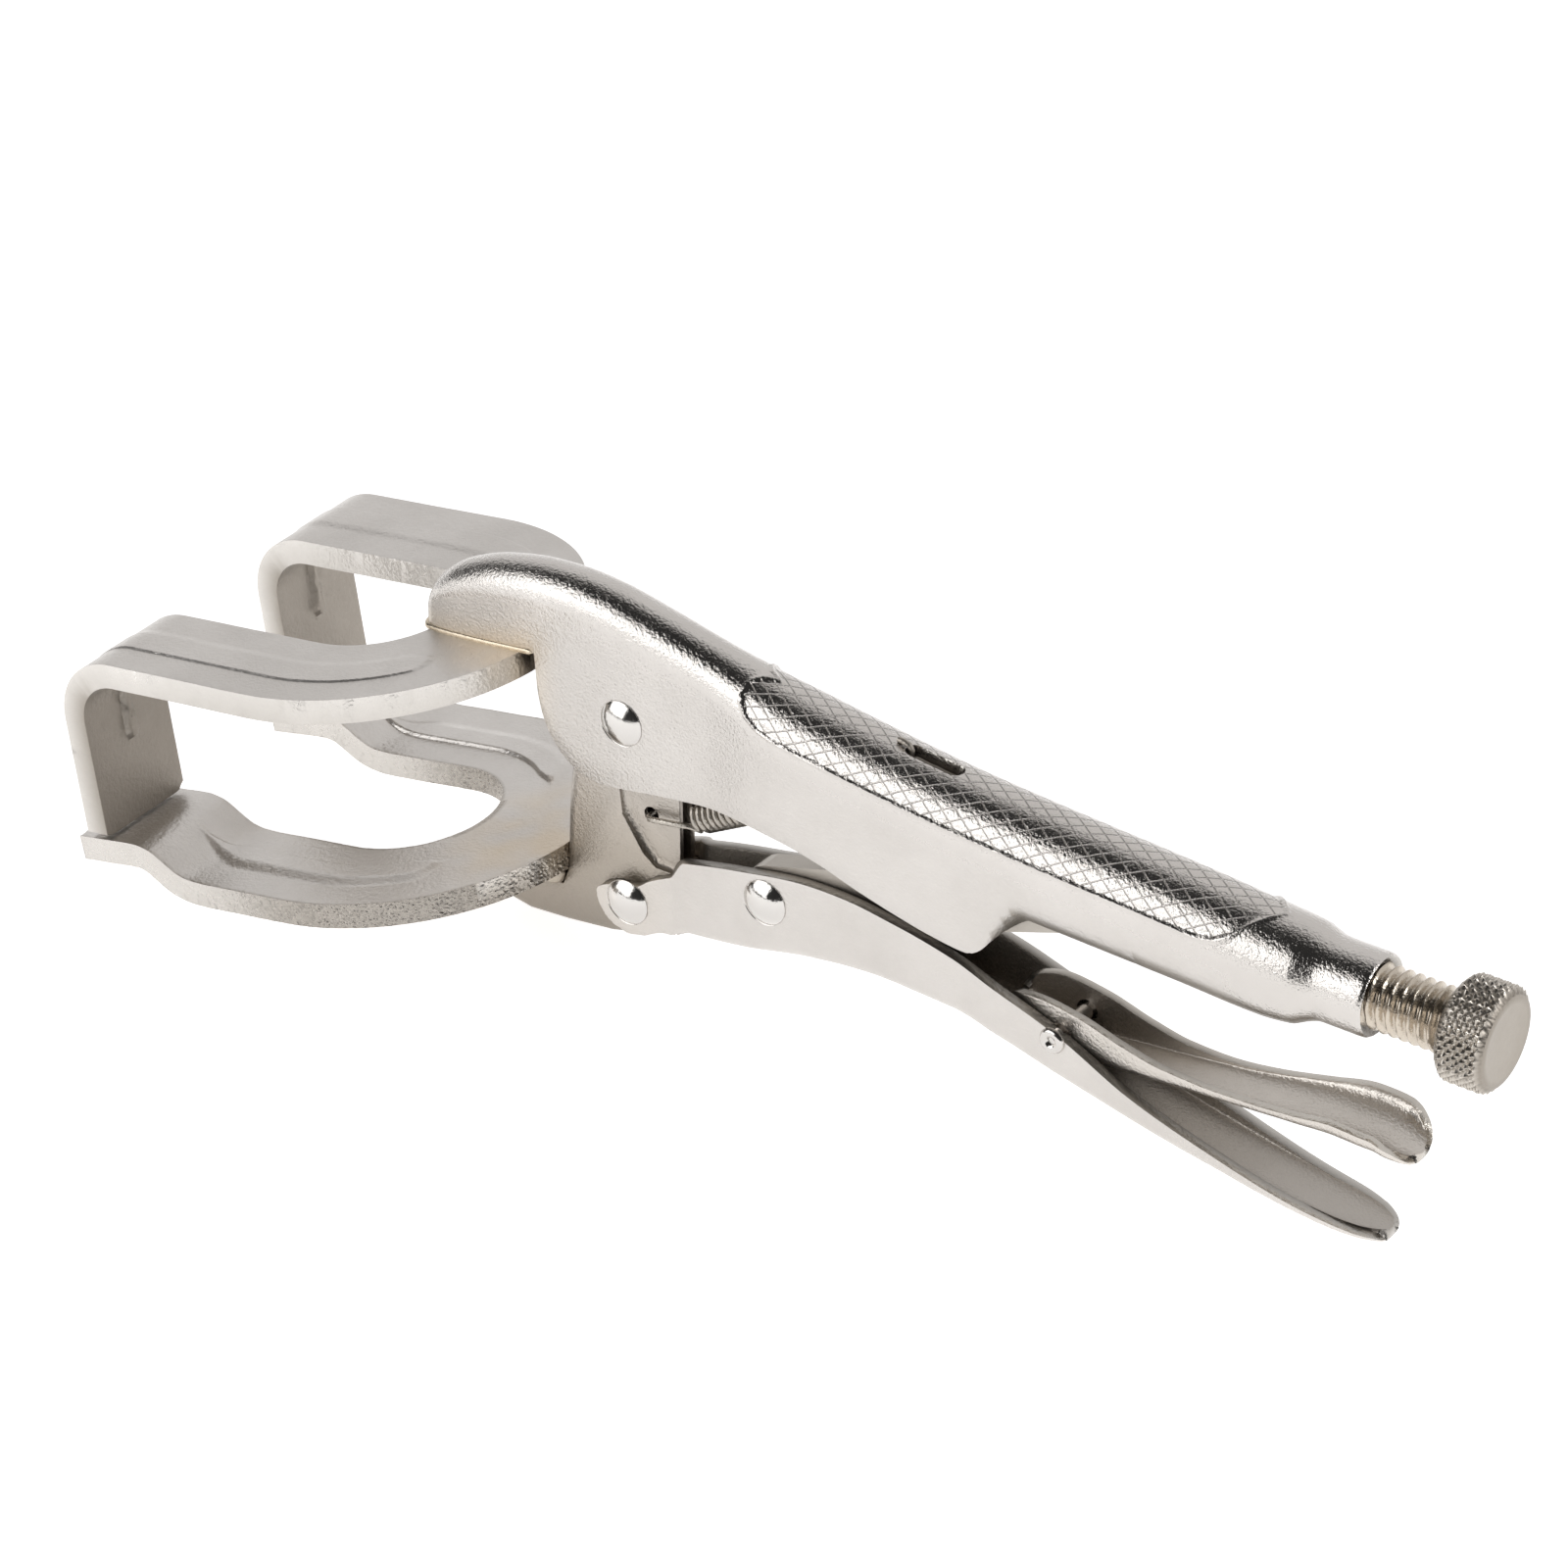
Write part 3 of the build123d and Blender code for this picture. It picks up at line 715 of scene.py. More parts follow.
def close_seams(obj: bpy.types.Object, gap: float = 0.000001) -> None:
    """Merge the points that meet and turn all faces outwards.

    Args:
        obj: the piece.
        gap: how close two points are to be merged, in metres.
    """
    pick(obj)
    bpy.ops.object.mode_set(mode="EDIT")
    bpy.ops.mesh.select_all(action="SELECT")
    bpy.ops.mesh.remove_doubles(threshold=gap)
    bpy.ops.mesh.normals_make_consistent(inside=False)
    bpy.ops.object.mode_set(mode="OBJECT")


def drop_faces(obj: bpy.types.Object, test: Callable[[Place], bool]) -> None:
    """Delete the faces whose centre passes a test, in millimetres from the jaw pivot.

    Args:
        obj: the piece.
        test: takes a face's centre and says whether it goes.
    """
    pick(obj)
    bpy.ops.object.mode_set(mode="EDIT")
    bpy.ops.mesh.select_mode(type="FACE")
    bpy.ops.mesh.select_all(action="DESELECT")
    bpy.ops.object.mode_set(mode="OBJECT")
    for face in obj.data.polygons:
        face.select = test(BENCH.local(face.center))
    bpy.ops.object.mode_set(mode="EDIT")
    bpy.ops.mesh.delete(type="FACE")
    bpy.ops.object.mode_set(mode="OBJECT")


def thicken(obj: bpy.types.Object, wall: float, rim: float, segments: int = 2,
            even: bool = True) -> None:
    """Give a formed sheet its thickness inwards and break its sheared edges.

    Args:
        obj: the open sheet.
        wall: thickness in millimetres.
        rim: width of the broken edges in millimetres.
        segments: how round the broken edges are.
        even: keep the thickness even round corners.
    """
    modify(obj, "SOLIDIFY", thickness=wall * MM, offset=-1.0, use_even_offset=even,
           use_rim=True, material_offset_rim=1)
    if rim > 0.0:
        modify(obj, "BEVEL", width=rim * MM, segments=segments, limit_method="ANGLE",
               angle_limit=math.radians(50), use_clamp_overlap=True, miter_outer="MITER_SHARP")


# ------------------------------------------------------------------ upper handle
@dataclass
class UpperHandle:
    """Pressed upper handle: domed nose, walls, knurled grip with its spring slot, swaged tail."""

    widths: Sequence[Point] = (
        (-37.3, 0.1), (-37.2, 1.2), (-36.9, 2.3), (-36.2, 3.05), (-35.0, 3.55), (-31.0, 4.15),
        (-24.0, 4.6), (-14.0, 4.85), (4.0, 4.85), (14.0, 5.0), (24.0, 6.3), (32.0, 7.0), (42.0, 7.1),
        (107.0, 7.1), (112.3, 7.0), (114.2, 6.5), (116.0, 6.13), (117.5, 6.1), (122.6, 6.1),
        (123.3, 6.0), (123.6, 5.75))
    crests: Sequence[Point] = (
        (-37.3, 4.0), (-37.2, 6.0), (-36.9, 8.0), (-36.2, 10.0), (-35.0, 11.7), (-31.0, 14.9),
        (-24.0, 17.8), (-16.0, 19.4), (-10.0, 19.75), (-4.0, 19.3), (4.0, 17.8), (14.0, 15.6),
        (24.0, 13.6), (40.0, 11.2), (56.0, 9.3), (68.0, 8.4), (94.0, 6.9), (107.0, 5.8), (112.3, 5.3),
        (114.2, 4.75), (116.0, 4.25), (117.5, 4.2), (122.6, 4.2), (123.3, 4.1), (123.6, 3.85))
    hems: Sequence[Point] = (
        (-15.4, 6.48), (-15.3, 3.0), (-14.9, -0.5), (-14.1, -3.7), (-12.7, -6.6), (-10.4, -9.3),
        (-7.4, -11.1), (-4.0, -11.6), (0.8, -11.0), (5.0, -10.2), (10.0, -9.4), (15.5, -8.6),
        (22.0, -8.2), (29.5, -8.4), (36.0, -9.5), (43.0, -11.5), (49.0, -13.0), (55.5, -14.3),
        (61.0, -14.9), (63.5, -14.4), (66.0, -12.0), (69.0, -9.2))
    keels: Sequence[Point] = (
        (60.0, -9.0), (68.0, -9.2), (94.0, -9.9), (107.0, -10.4), (112.0, -9.9), (114.5, -8.7),
        (116.5, -8.05), (117.5, -8.0), (122.6, -8.0), (123.3, -7.9), (123.6, -7.65))
    panel: Sequence[Point] = (
        (24.6, 0.0), (22.6, 1.0), (21.5, 2.4), (21.0, 4.2), (21.3, 6.0), (22.6, 7.6), (24.8, 8.7),
        (27.6, 9.15), (32.0, 9.2), (60.0, 9.1), (94.0, 9.2), (98.6, 9.0), (101.2, 8.3), (103.0, 7.0),
        (104.4, 5.2), (108.6, 0.0))
    slot_middle: float = 51.1
    slot_half: float = 4.8
    slot_side: float = 1.45
    groove_step: float = 0.33
    groove_steps: int = 10
    groove_depth: float = 0.035
    wall: float = 1.7
    wall_rows: int = 7
    top_rows: int = 98
    nose_end: float = -15.4
    seam_height: float = 8.98
    seam_slope: float = 8.9
    closing: Point = (61.5, 70.0)
    mouth_gap: float = 2.55
    seam_gap: float = 0.12
    knurl_ends: Point = (20.0, 109.0)
    knurl_margin: float = 0.5
    border_height: float = 0.26
    border_width: float = 0.25
    panel_drop: float = 0.12
    slot_dip: float = 0.3

    @classmethod
    def row_gaps(cls) -> int:
        """Rows of faces round the whole section."""
        return 2 * (cls.wall_rows - 1 + cls.top_rows // 2)

    def stations(self) -> list[float]:
        """Positions of the grid's columns along the handle."""
        low_end, high_end = 62 * self.groove_step, 331 * self.groove_step
        spans = ((-37.3, -35.0, 8), (-35.0, -16.0, 18), (-16.0, -12.0, 18), (-12.0, low_end, 30),
                 (low_end, high_end, 269), (high_end, 122.2, 28), (122.2, 123.6, 5))
        places: list[float] = []
        for low, high, count in spans:
            places.extend(low + (high - low) * n / count for n in range(count))
        return places + [123.6]

    def hem(self, x: float) -> float:
        """Height of the wall's lower edge."""
        return self.seam(x) if x < self.nose_end else curve_value(self.hems, x)

    def seam(self, x: float) -> float:
        """Height of the sloping line where the nose meets the fork."""
        return self.seam_height + math.tan(math.radians(self.seam_slope)) * x

    def section(self, x: float) -> tuple[list[Point], list[Point]]:
        """Near half of one section.

        Args:
            x: position along the handle.

        Returns:
            Wall points from the hem up to the shoulder, and crown points from there to the crest,
            each as (half width, height).
        """
        half, crest = curve_value(self.widths, x), curve_value(self.crests, x)
        shoulder = crest - half
        closed = smooth(x, *self.closing)
        keel = curve_value(self.keels, x)
        foot = self.hem(x) * (1 - closed) + min(keel + half, shoulder - 0.05) * closed
        foot = min(foot, shoulder - 0.05)
        gap = self.mouth_gap + (self.seam_gap - self.mouth_gap) * smooth(x, 86.0, 90.0)
        turn = math.degrees(math.acos(clamp(gap / half))) * closed
        wall = [(half, shoulder), (half, foot)]
        if turn > 1.0:
            wall = [(half, shoulder)] + arc((0.0, foot), half, 0.0, -turn, 14)
        crown = arc((0.0, shoulder), half, 0.0, 90.0, 32)
        return resample(wall[::-1], self.wall_rows), resample(crown, self.top_rows // 2 + 1)

    def relief(self, x: float, s: float) -> float:
        """Height of the panel's border and floor and the dip at the slot, in millimetres.

        Args:
            x: position along the handle.
            s: distance from the crest line round the surface.

        Returns:
            The height.
        """
        if not 19.0 < x < 110.0 or s > 11.5:
            return 0.0
        edge = path_distance((x, s), self.panel)
        lift = self.border_height * math.exp(-(edge / self.border_width) ** 2)
        if self.in_panel(x, s):
            lift -= self.panel_drop * smooth(edge, 0.2, 0.7)
        front = self.slot_middle - self.slot_half
        return lift - self.slot_dip * math.exp(-((x - front) / 0.9) ** 2 - (s / 1.2) ** 2)

    def in_panel(self, x: float, s: float) -> bool:
        """Whether a place on the unrolled surface lies inside the knurled panel.

        Args:
            x: position along the handle.
            s: distance from the crest line round the surface.

        Returns:
            True inside.
        """
        inside = False
        ring = list(self.panel) + [(108.6, -1.0), (24.6, -1.0)]
        for (x0, s0), (x1, s1) in zip(ring, ring[1:] + ring[:1]):
            if (s0 > s) != (s1 > s) and x < (x1 - x0) * (s - s0) / (s1 - s0) + x0:
                inside = not inside
        return inside

    def knurled(self, x: float, s: float, margin: float) -> bool:
        """Whether a place is inside the panel and not within a margin of its border.

        Args:
            x: position along the handle.
            s: distance from the crest line round the surface.
            margin: width in millimetres.

        Returns:
            True where grooves are cut.
        """
        low, high = self.knurl_ends
        return low < x < high and self.in_panel(x, s) and path_distance((x, s), self.panel) >= margin

    def knurl(self, x: float, s: float, turn: float) -> float:
        """Depth of the crossed grooves.

        Args:
            x: position along the handle.
            s: distance from the crest line round the surface.
            turn: signed share of the quarter turn from the crest, on which the grooves are laid out.

        Returns:
            Height in millimetres, 0 or less.
        """
        if not self.knurled(x, s, self.knurl_margin):
            return 0.0
        steps = turn * self.top_rows / 2
        depth = 0.0
        for lean in (1.0, -1.0):
            phase = (x / self.groove_step + lean * steps) / self.groove_steps % 1.0
            away = min(phase, 1.0 - phase) * self.groove_steps
            depth = max(depth, 1.0 - smooth(away, 0.0, 1.1))
        return -self.groove_depth * depth

    def build(self) -> bpy.types.Object:
        """Model the handle.

        Returns:
            The finished piece.
        """
        columns = self.stations()
        table: list[list[Place]] = []
        for x in columns:
            wall, crown = self.section(x)
            side = wall[:-1] + crown
            half = curve_value(self.widths, x)
            lane: list[Place] = []
            for sign in (1, -1):
                row: list[Place] = []
                for k, (y, z) in enumerate(side):
                    share = 1.0 - (k - self.wall_rows + 1) / (self.top_rows / 2)
                    turn = (1.0 - share) * math.pi / 2
                    s = half * share * math.pi / 2
                    ny, nz = (math.cos(turn), math.sin(turn)) if turn > 0 else (1.0, 0.0)
                    lift = self.relief(x, s) + self.knurl(x, s, sign * share)
                    row.append((x, sign * (y + ny * lift), z + nz * lift))
                lane += row if sign == 1 else row[-2::-1]
            table.append(lane)
        obj = sheet_grid("upper_handle_pressing", len(columns), self.row_gaps() + 1,
                         lambda c, r: table[c][r], True)
        dress(obj, Look.GRIP, Look.SHEARED)
        drop_faces(obj, lambda p: p[2] > 0.0 and self.slot_distance(p[0], p[1]) < 0.0)
        self.round_slot(obj)
        thicken(obj, self.wall, 0.3)
        paint(obj, self.shine)
        soften(obj, 42.0)
        return hand_over(obj, BODY_UPPER, "nickel_pressings", "upper_handle")

    def slot_distance(self, x: float, y: float) -> float:
        """Distance outside the slot's rounded outline, negative within.

        Args:
            x: position along the handle.
            y: position across it.

        Returns:
            Millimetres from the outline.
        """
        reach = self.slot_half - self.slot_side
        along = max(abs(x - self.slot_middle) - reach, 0.0)
        return math.hypot(along, y) - self.slot_side

    def round_slot(self, obj: bpy.types.Object) -> None:
        """Draw the hole's rim onto the slot's outline.

        Args:
            obj: the open sheet with the slot's faces dropped.
        """
        uses: dict[tuple[int, int], int] = {}
        for face in obj.data.polygons:
            for key in face.edge_keys:
                uses[key] = uses.get(key, 0) + 1
        rim = {index for key, count in uses.items() if count == 1 for index in key}
        reach = self.slot_half - self.slot_side
        for index in rim:
            vertex = obj.data.vertices[index]
            x, y, _z = BENCH.local(vertex.co)
            if abs(self.slot_distance(x, y)) > 0.6:
                continue
            middle = clamp(x, self.slot_middle - reach, self.slot_middle + reach)
            scale = self.slot_side / max(math.hypot(x - middle, y), 0.01)
            vertex.co.x = (middle + (x - middle) * scale + BENCH.pivot_x) * MM
            vertex.co.y = y * scale * MM

    def in_slot(self, place: Place) -> bool:
        """Whether a place lies in the slot or on its rim."""
        x, y, z = place
        along = abs(x - self.slot_middle) < self.slot_half + 0.4
        return along and z > 0 and abs(y) < self.slot_side + 0.45

    def shine(self, place: Place) -> Coat:
        """Polish on the rounded top, gold near the seam, painted shade on the inner faces and darkest in
        the spring slot.

        Args:
            place: millimetres from the jaw pivot.

        Returns:
            (polish, golden tint, painted shade, grooves).
        """
        x, y, z = place
        half, crest = curve_value(self.widths, x), curve_value(self.crests, x)
        shoulder = crest - half
        out = math.hypot(y, max(z - shoulder, 0.0)) > half - 0.9
        polish = smooth(z, shoulder - 0.9, shoulder + 0.3) * (0.55 + 0.45 * smooth(x, -20.0, 0.0))
        polish = max(polish, smooth(x, 100.0, 108.0))
        gold = 0.0
        if x < -8.0:
            above = z - self.seam(x)
            gold = 0.4 * (1.0 - smooth(above, 0.0, 5.0)) * (1.0 - smooth(x, -18.0, -10.0))
        in_hole = self.in_slot(place) and z < crest - 0.45
        s = half * math.atan2(abs(y), max(z - shoulder, 0.001))
        # Painted shade: the inner faces are darkened, the faces down in the spring slot fully.
        grime_and_shade = 1.0 if in_hole else 0.0 if out else 0.85
        return (polish, gold, grime_and_shade, 1.0 if out and self.knurled(x, s, 0.45) else 0.0)


# ------------------------------------------------------------------ jaws
@dataclass
class Fork:
    """What both U-shaped plates share; places are (along, across, up) in the plate's own axes."""

    inner: float = 13.7
    outer: float = 31.5
    plate: float = 3.9
    bead_low: float = 19.2
    bead_high: float = 25.8
    bead_lift: float = 0.32
    soft_low: float = 1.8
    soft_high: float = 0.3
    drop_low: float = 20.6
    drop_high: float = 24.0

    def lanes(self) -> list[float]:
        """Distances of the grid's rows from the fork's middle line, closer at the band's two lines.

        Returns:
            Distances in rising order.
        """
        places = {self.inner, self.outer}
        for low, high, step in ((self.inner, self.outer, 0.62),
                                (self.bead_low - 0.7, self.bead_low + 0.7, 0.14),
                                (self.bead_high - 0.7, self.bead_high + 0.7, 0.14),
                                (self.drop_low, self.drop_high, 0.34)):
            count = round((high - low) / step)
            places.update(round(low + (high - low) * n / count, 3) for n in range(count + 1))
        ordered = sorted(places)
        return [a for a, b in zip(ordered, ordered[1:]) if b - a > 0.06] + [self.outer]

    def band(self, rho: float, fade: float) -> float:
        """Height of the pressed stiffening band across the plate.

        Args:
            rho: distance from the fork's middle line.
            fade: how narrow the band is here, from 0 to 1.

        Returns:
            Height in millimetres.
        """
        middle = (self.bead_low + self.bead_high) / 2
        half = (self.bead_high - self.bead_low) / 2 * fade
        if half < 0.15:
            return 0.0
        soft = self.soft_low if rho < middle else self.soft_high
        share = 1.0 - smooth(abs(rho - middle), half - min(soft, half), half + 0.15)
        return self.bead_lift * share * min(1.0, half / 1.2)

    def rough_edge(self, obj: bpy.types.Object, depth: float) -> None:
        """Tear the sheared edge faces a little.

        Args:
            obj: the piece, with its edge faces in the second slot.
            depth: how deep in millimetres.
        """
        mesh = obj.data
        touched: set[int] = set()
        kept: set[int] = set()
        for face in mesh.polygons:
            (touched if face.material_index == 1 else kept).update(face.vertices)
        for index in touched - kept:
            vertex = mesh.vertices[index]
            x, y, z = vertex.co / MM
            push = rumble(x, y, z, 0.9) * depth + rumble(x, y, z + 50.0, 2.3) * depth * 0.7
            vertex.co += vertex.normal * push * MM


@dataclass
class UpperFork(Fork):
    """Upper plate: flat U, both tips bent down into legs, pressed band, beads on the legs."""

    slope: float = 8.9
    height: float = 8.9
    centre: float = -49.2
    reach: float = 86.3
    leg: float = 30.3
    bend: float = 11.0
    leg_steps: int = 26
    bend_steps: int = 18
    arm_steps: int = 34
    root_steps: int = 56
    drop_middle: float = 22.3
    drop_end: float = -16.0

    def spine(self) -> list[Place]:
        """The line that the sheet follows, as (along, up, turn round the root)."""
        points: list[Place] = []
        bend_at = -self.reach + self.bend
        for n in range(self.leg_steps):
            up = -self.leg + (self.leg - self.bend) * n / self.leg_steps
            points.append((-self.reach, up, -90.0))
        for n in range(self.bend_steps):
            a = math.radians(180.0 - 90.0 * n / self.bend_steps)
            along, up = bend_at + self.bend * math.cos(a), -self.bend + self.bend * math.sin(a)
            points.append((along, up, -90.0))
        for n in range(self.arm_steps):
            points.append((bend_at + (self.centre - bend_at) * n / self.arm_steps, 0.0, -90.0))
        steps = self.root_steps
        half = points + [(self.centre, 0.0, -90.0 + 90.0 * n / steps) for n in range(steps + 1)]
        return half + [(along, up, -turn) for along, up, turn in reversed(half[:-1])]

    def raise_band(self, along: float, up: float, turn: float, rho: float) -> float:
        """Pressed band on the outer face, fading on the legs.

        Args:
            along: position along the plate.
            up: height above its outer face.
            turn: degrees round the root.
            rho: distance from the fork's middle line.

        Returns:
            Height in millimetres.
        """
        level = abs(turn) < 90.0 or up > -self.bend * 0.6
        fade = 1.0 if level else 1.0 - smooth(-up, self.bend * 0.6, 16.0)
        fade *= smooth(abs(turn), 26.0, 40.0) if abs(turn) < 90.0 else 1.0
        return self.band(rho, fade) * (0.55 if along < -70.0 and up < -0.5 else 0.8)

    def build(self) -> bpy.types.Object:
        """Model the plate and place it on its slope."""
        spine = self.spine()
        lanes = self.lanes()

        def place(column: int, row: int) -> Place:
            """One place of the outer face."""
            along, up, turn = spine[column]
            rho = lanes[row]
            corner = 0.0
            if column < 3 or column > len(spine) - 4:
                near_end = (3 - min(column, len(spine) - 1 - column)) / 3
                edge = min(rho - self.inner, self.outer - rho)
                corner = 1.1 * near_end * (1.0 - smooth(edge, 0.0, 1.5))
                corner *= 1.0 if rho < 20.0 else 0.4
            a = math.radians(turn)
            if abs(turn) < 90.0:
                x, y = along + rho * math.cos(a), rho * math.sin(a)
            else:
                x, y = along, math.copysign(rho, turn)
            lift = self.raise_band(along, up, turn, rho)
            if up < -self.bend:
                return self.slant(x - lift, y, up + corner)
            if up < 0.0:
                bow = math.atan2(up + self.bend, along + self.reach - self.bend)
                return self.slant(x + lift * math.cos(bow), y, up + lift * math.sin(bow))
            return self.slant(x, y, lift + 0.05 * rumble(x, y, 0.0, 0.12))

        obj = sheet_grid("upper_fork_plate", len(spine), len(lanes), place, True)
        dress(obj, Look.PLATE, Look.TORN)
        thicken(obj, self.plate, 0.5, 3)
        self.rough_edge(obj, 0.008)
        self.press_drops(obj)
        paint(obj, self.shine)
        soften(obj, 38.0)
        return hand_over(obj, BODY_UPPER, "nickel_jaws", "upper_jaw_fork")

    def slant(self, along: float, across: float, up: float) -> Place:
        """Turn a place of the plate's own axes into one from the jaw pivot."""
        a = math.radians(self.slope)
        return (along * math.cos(a) - up * math.sin(a), across,
                self.height + along * math.sin(a) + up * math.cos(a))

    def flatten(self, place: Place) -> Place:
        """Turn a place from the jaw pivot into the plate's own axes."""
        x, y, z = place
        a = math.radians(self.slope)
        z -= self.height
        return (x * math.cos(a) + z * math.sin(a), y, -x * math.sin(a) + z * math.cos(a))

    def press_drops(self, obj: bpy.types.Object) -> None:
        """Raise the drop-shaped end of each band on the inner face of its leg.

        Args:
            obj: the fork.
        """
        for vertex in obj.data.vertices:
            along, across, up = self.flatten(BENCH.local(vertex.co))
            inner = abs(along + self.reach - self.plate) < 0.5
            if not inner or up > -5.0 or up < -20.0:
                continue
            half = 0.3 + 0.95 * clamp((-7.0 - up) / 9.0)
            away = math.hypot(abs(abs(across) - self.drop_middle), max(self.drop_end - up, 0.0))
            lift = 0.9 * (1.0 - smooth(away, half - 0.3, half + 0.3)) * smooth(-up, 5.5, 8.0)
            vertex.co.x += lift * MM

    def shine(self, place: Place) -> Coat:
        """Golden tint near the brazed root, painted shade on the legs' inner faces and the plate's
        underside.

        Args:
            place: millimetres from the jaw pivot.

        Returns:
            (polish, golden tint, painted shade).
        """
        along, across, up = self.flatten(place)
        reach = math.hypot(along + 17.0, across * 1.1)
        gold = 0.6 * (1.0 - smooth(reach, 6.0, 20.0)) * clamp(0.65 + rumble(along, across, up, 0.22))
        # Painted shade on the legs' inner faces, and lighter painted shade on the plate's underside.
        inside = smooth(-up, 4.5, 7.0) * smooth(along, 0.6 - self.reach, 3.3 - self.reach)
        return (0.0, gold, 0.9 * inside + 0.25 * smooth(-up, 3.2, 4.2) * (along > -80.0))


@dataclass
class LowerFork(Fork):
    """Lower plate: flat U with stepped tips and a pressed band."""

    slope: float = 11.0
    centre: float = -43.2
    step_at: float = 60.0
    step_length: float = 12.0
    step_rise: float = 4.5
    tip: float = 82.4
    bead_low: float = 19.6
    bead_high: float = 25.7
    bead_lift: float = 0.6
    soft_low: float = 0.55
    soft_high: float = 2.4
    arm_steps: int = 72
    root_steps: int = 60
    origin_x: float = 0.0
    origin_z: float = 0.0

    def locate(self) -> None:
        """Find the plate's own origin from the corners of its CAD node."""
        low, _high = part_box("lower_jaw_fork")
        a = math.radians(self.slope)
        x = low[0] / MM - BENCH.pivot_x
        self.origin_x = x - (-self.tip * math.cos(a) - self.rise(self.tip) * math.sin(a))
        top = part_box("lower_jaw_fork")[1][2] / MM - BENCH.pivot_z
        self.origin_z = top - (self.centre + self.outer) * math.sin(a)

    def rise(self, reach: float) -> float:
        """Height of the top face above the plate, at a distance from the pivot side.

        Args:
            reach: distance along the plate.

        Returns:
            Height in millimetres.
        """
        fall = -math.tan(math.radians(self.slope - UpperFork.slope))
        end = self.step_at + self.step_length
        top = self.step_rise - (self.tip - 4.0 - end) * fall
        table = ((self.step_at - 1.5, 0.0), (self.step_at + 1.0, 0.03 * top),
                 (self.step_at + 3.0, 0.12 * top), (self.step_at + 9.0, 0.88 * top),
                 (end - 0.6, 0.985 * top), (end + 1.2, top + 1.2 * fall))
        if reach <= end + 1.2:
            return curve_value(table, reach)
        return top + (reach - end) * fall

    def slant(self, along: float, across: float, up: float) -> Place:
        """Turn a place of the plate's own axes into one from the jaw pivot."""
        a = math.radians(self.slope)
        return (self.origin_x + along * math.cos(a) - up * math.sin(a), across,
                self.origin_z + along * math.sin(a) + up * math.cos(a))

    def spine(self) -> list[tuple[float, float]]:
        """The line that the sheet follows, as (along, turn round the root)."""
        straight, bent = self.arm_steps, self.root_steps
        arm = [(-self.tip + (self.tip + self.centre) * n / straight, -90.0) for n in range(straight)]
        half = arm + [(self.centre, -90.0 + 90.0 * n / bent) for n in range(bent + 1)]
        return half + [(a, -t) for a, t in reversed(half[:-1])]

    def build(self) -> bpy.types.Object:
        """Model the plate and place it on its slope."""
        self.locate()
        spine = self.spine()
        lanes = self.lanes()

        def place(column: int, row: int) -> Place:
            """One place of the top face."""
            along, turn = spine[column]
            rho = lanes[row]
            a = math.radians(turn)
            if abs(turn) < 90.0:
                x, y = along + rho * math.cos(a), rho * math.sin(a)
                fade = smooth(abs(turn), 36.0, 52.0)
            else:
                x, y = along, math.copysign(rho, turn)
                fade = 1.0 - smooth(-along, 57.0, 69.0)
            if column in (0, len(spine) - 1):
                x += 0.5 * rumble(0.0, y, 3.0, 0.5)
            up = self.rise(-along) + self.band(rho + 1.6 * (1.0 - fade), max(fade, 0.0))
            return self.slant(x, y, up + 0.05 * rumble(x, y, 9.0, 0.12))

        obj = sheet_grid("lower_fork_plate", len(spine), len(lanes), place, True)
        dress(obj, Look.PLATE, Look.TORN)
        thicken(obj, self.plate, 0.45, 3)
        self.rough_edge(obj, 0.05)
        paint(obj, self.shine)
        soften(obj, 38.0)
        return hand_over(obj, BODY_JAW, "nickel_jaws", "lower_jaw_fork")

    def shine(self, place: Place) -> Coat:
        """Golden tint near the weld, torn edges towards it.

        Args:
            place: millimetres from the jaw pivot.

        Returns:
            (polish, golden tint, grime).
        """
        x, y, z = place
        reach = math.hypot(x + 14.0, y)
        gold = 0.6 * (1.0 - smooth(reach, 7.0, 22.0)) * clamp(0.6 + rumble(x, y, z, 0.2))
        torn = 0.15 + 0.85 * smooth(x, -62.0, -40.0)
        return (torn, gold, 0.72 * torn) if self.on_rim(x, y) else (0.15, gold, 0.0)

    def on_rim(self, x: float, y: float) -> bool:
        """Whether a place lies on the plate's sheared outer or inner edge.

        Args:
            x: position along the tool.
            y: position across it.

        Returns:
            True on an edge.
        """
        middle = self.centre * math.cos(math.radians(self.slope)) + self.origin_x
        rho = math.hypot(x - middle, y) if x > middle else abs(y)
        return rho > self.outer - 0.4 or rho < self.inner + 0.4


# ------------------------------------------------------------------ turned, cut and wound shapes
def outline_block(name: str, outline: Sequence[Point], low: float, high: float) -> bpy.types.Object:
    """A filled outline pushed across the tool.

    Args:
        name: the piece's name.
        outline: (x, z) corners in millimetres from the jaw pivot.
        low: lower Y.
        high: upper Y.

    Returns:
        A closed block.
    """
    deselect()
    bpy.ops.mesh.primitive_circle_add(vertices=len(outline), radius=1.0, fill_type="NGON")
    obj = named(name)
    for vertex, (x, z) in zip(obj.data.vertices, outline):
        vertex.co = BENCH.metres((x, low, z))
    pick(obj)
    bpy.ops.object.mode_set(mode="EDIT")
    bpy.ops.mesh.select_all(action="SELECT")
    bpy.ops.mesh.extrude_region_move(TRANSFORM_OT_translate={"value": (0.0, (high - low) * MM, 0.0)})
    bpy.ops.mesh.select_all(action="SELECT")
    bpy.ops.mesh.normals_make_consistent(inside=False)
    bpy.ops.object.mode_set(mode="OBJECT")
    return obj


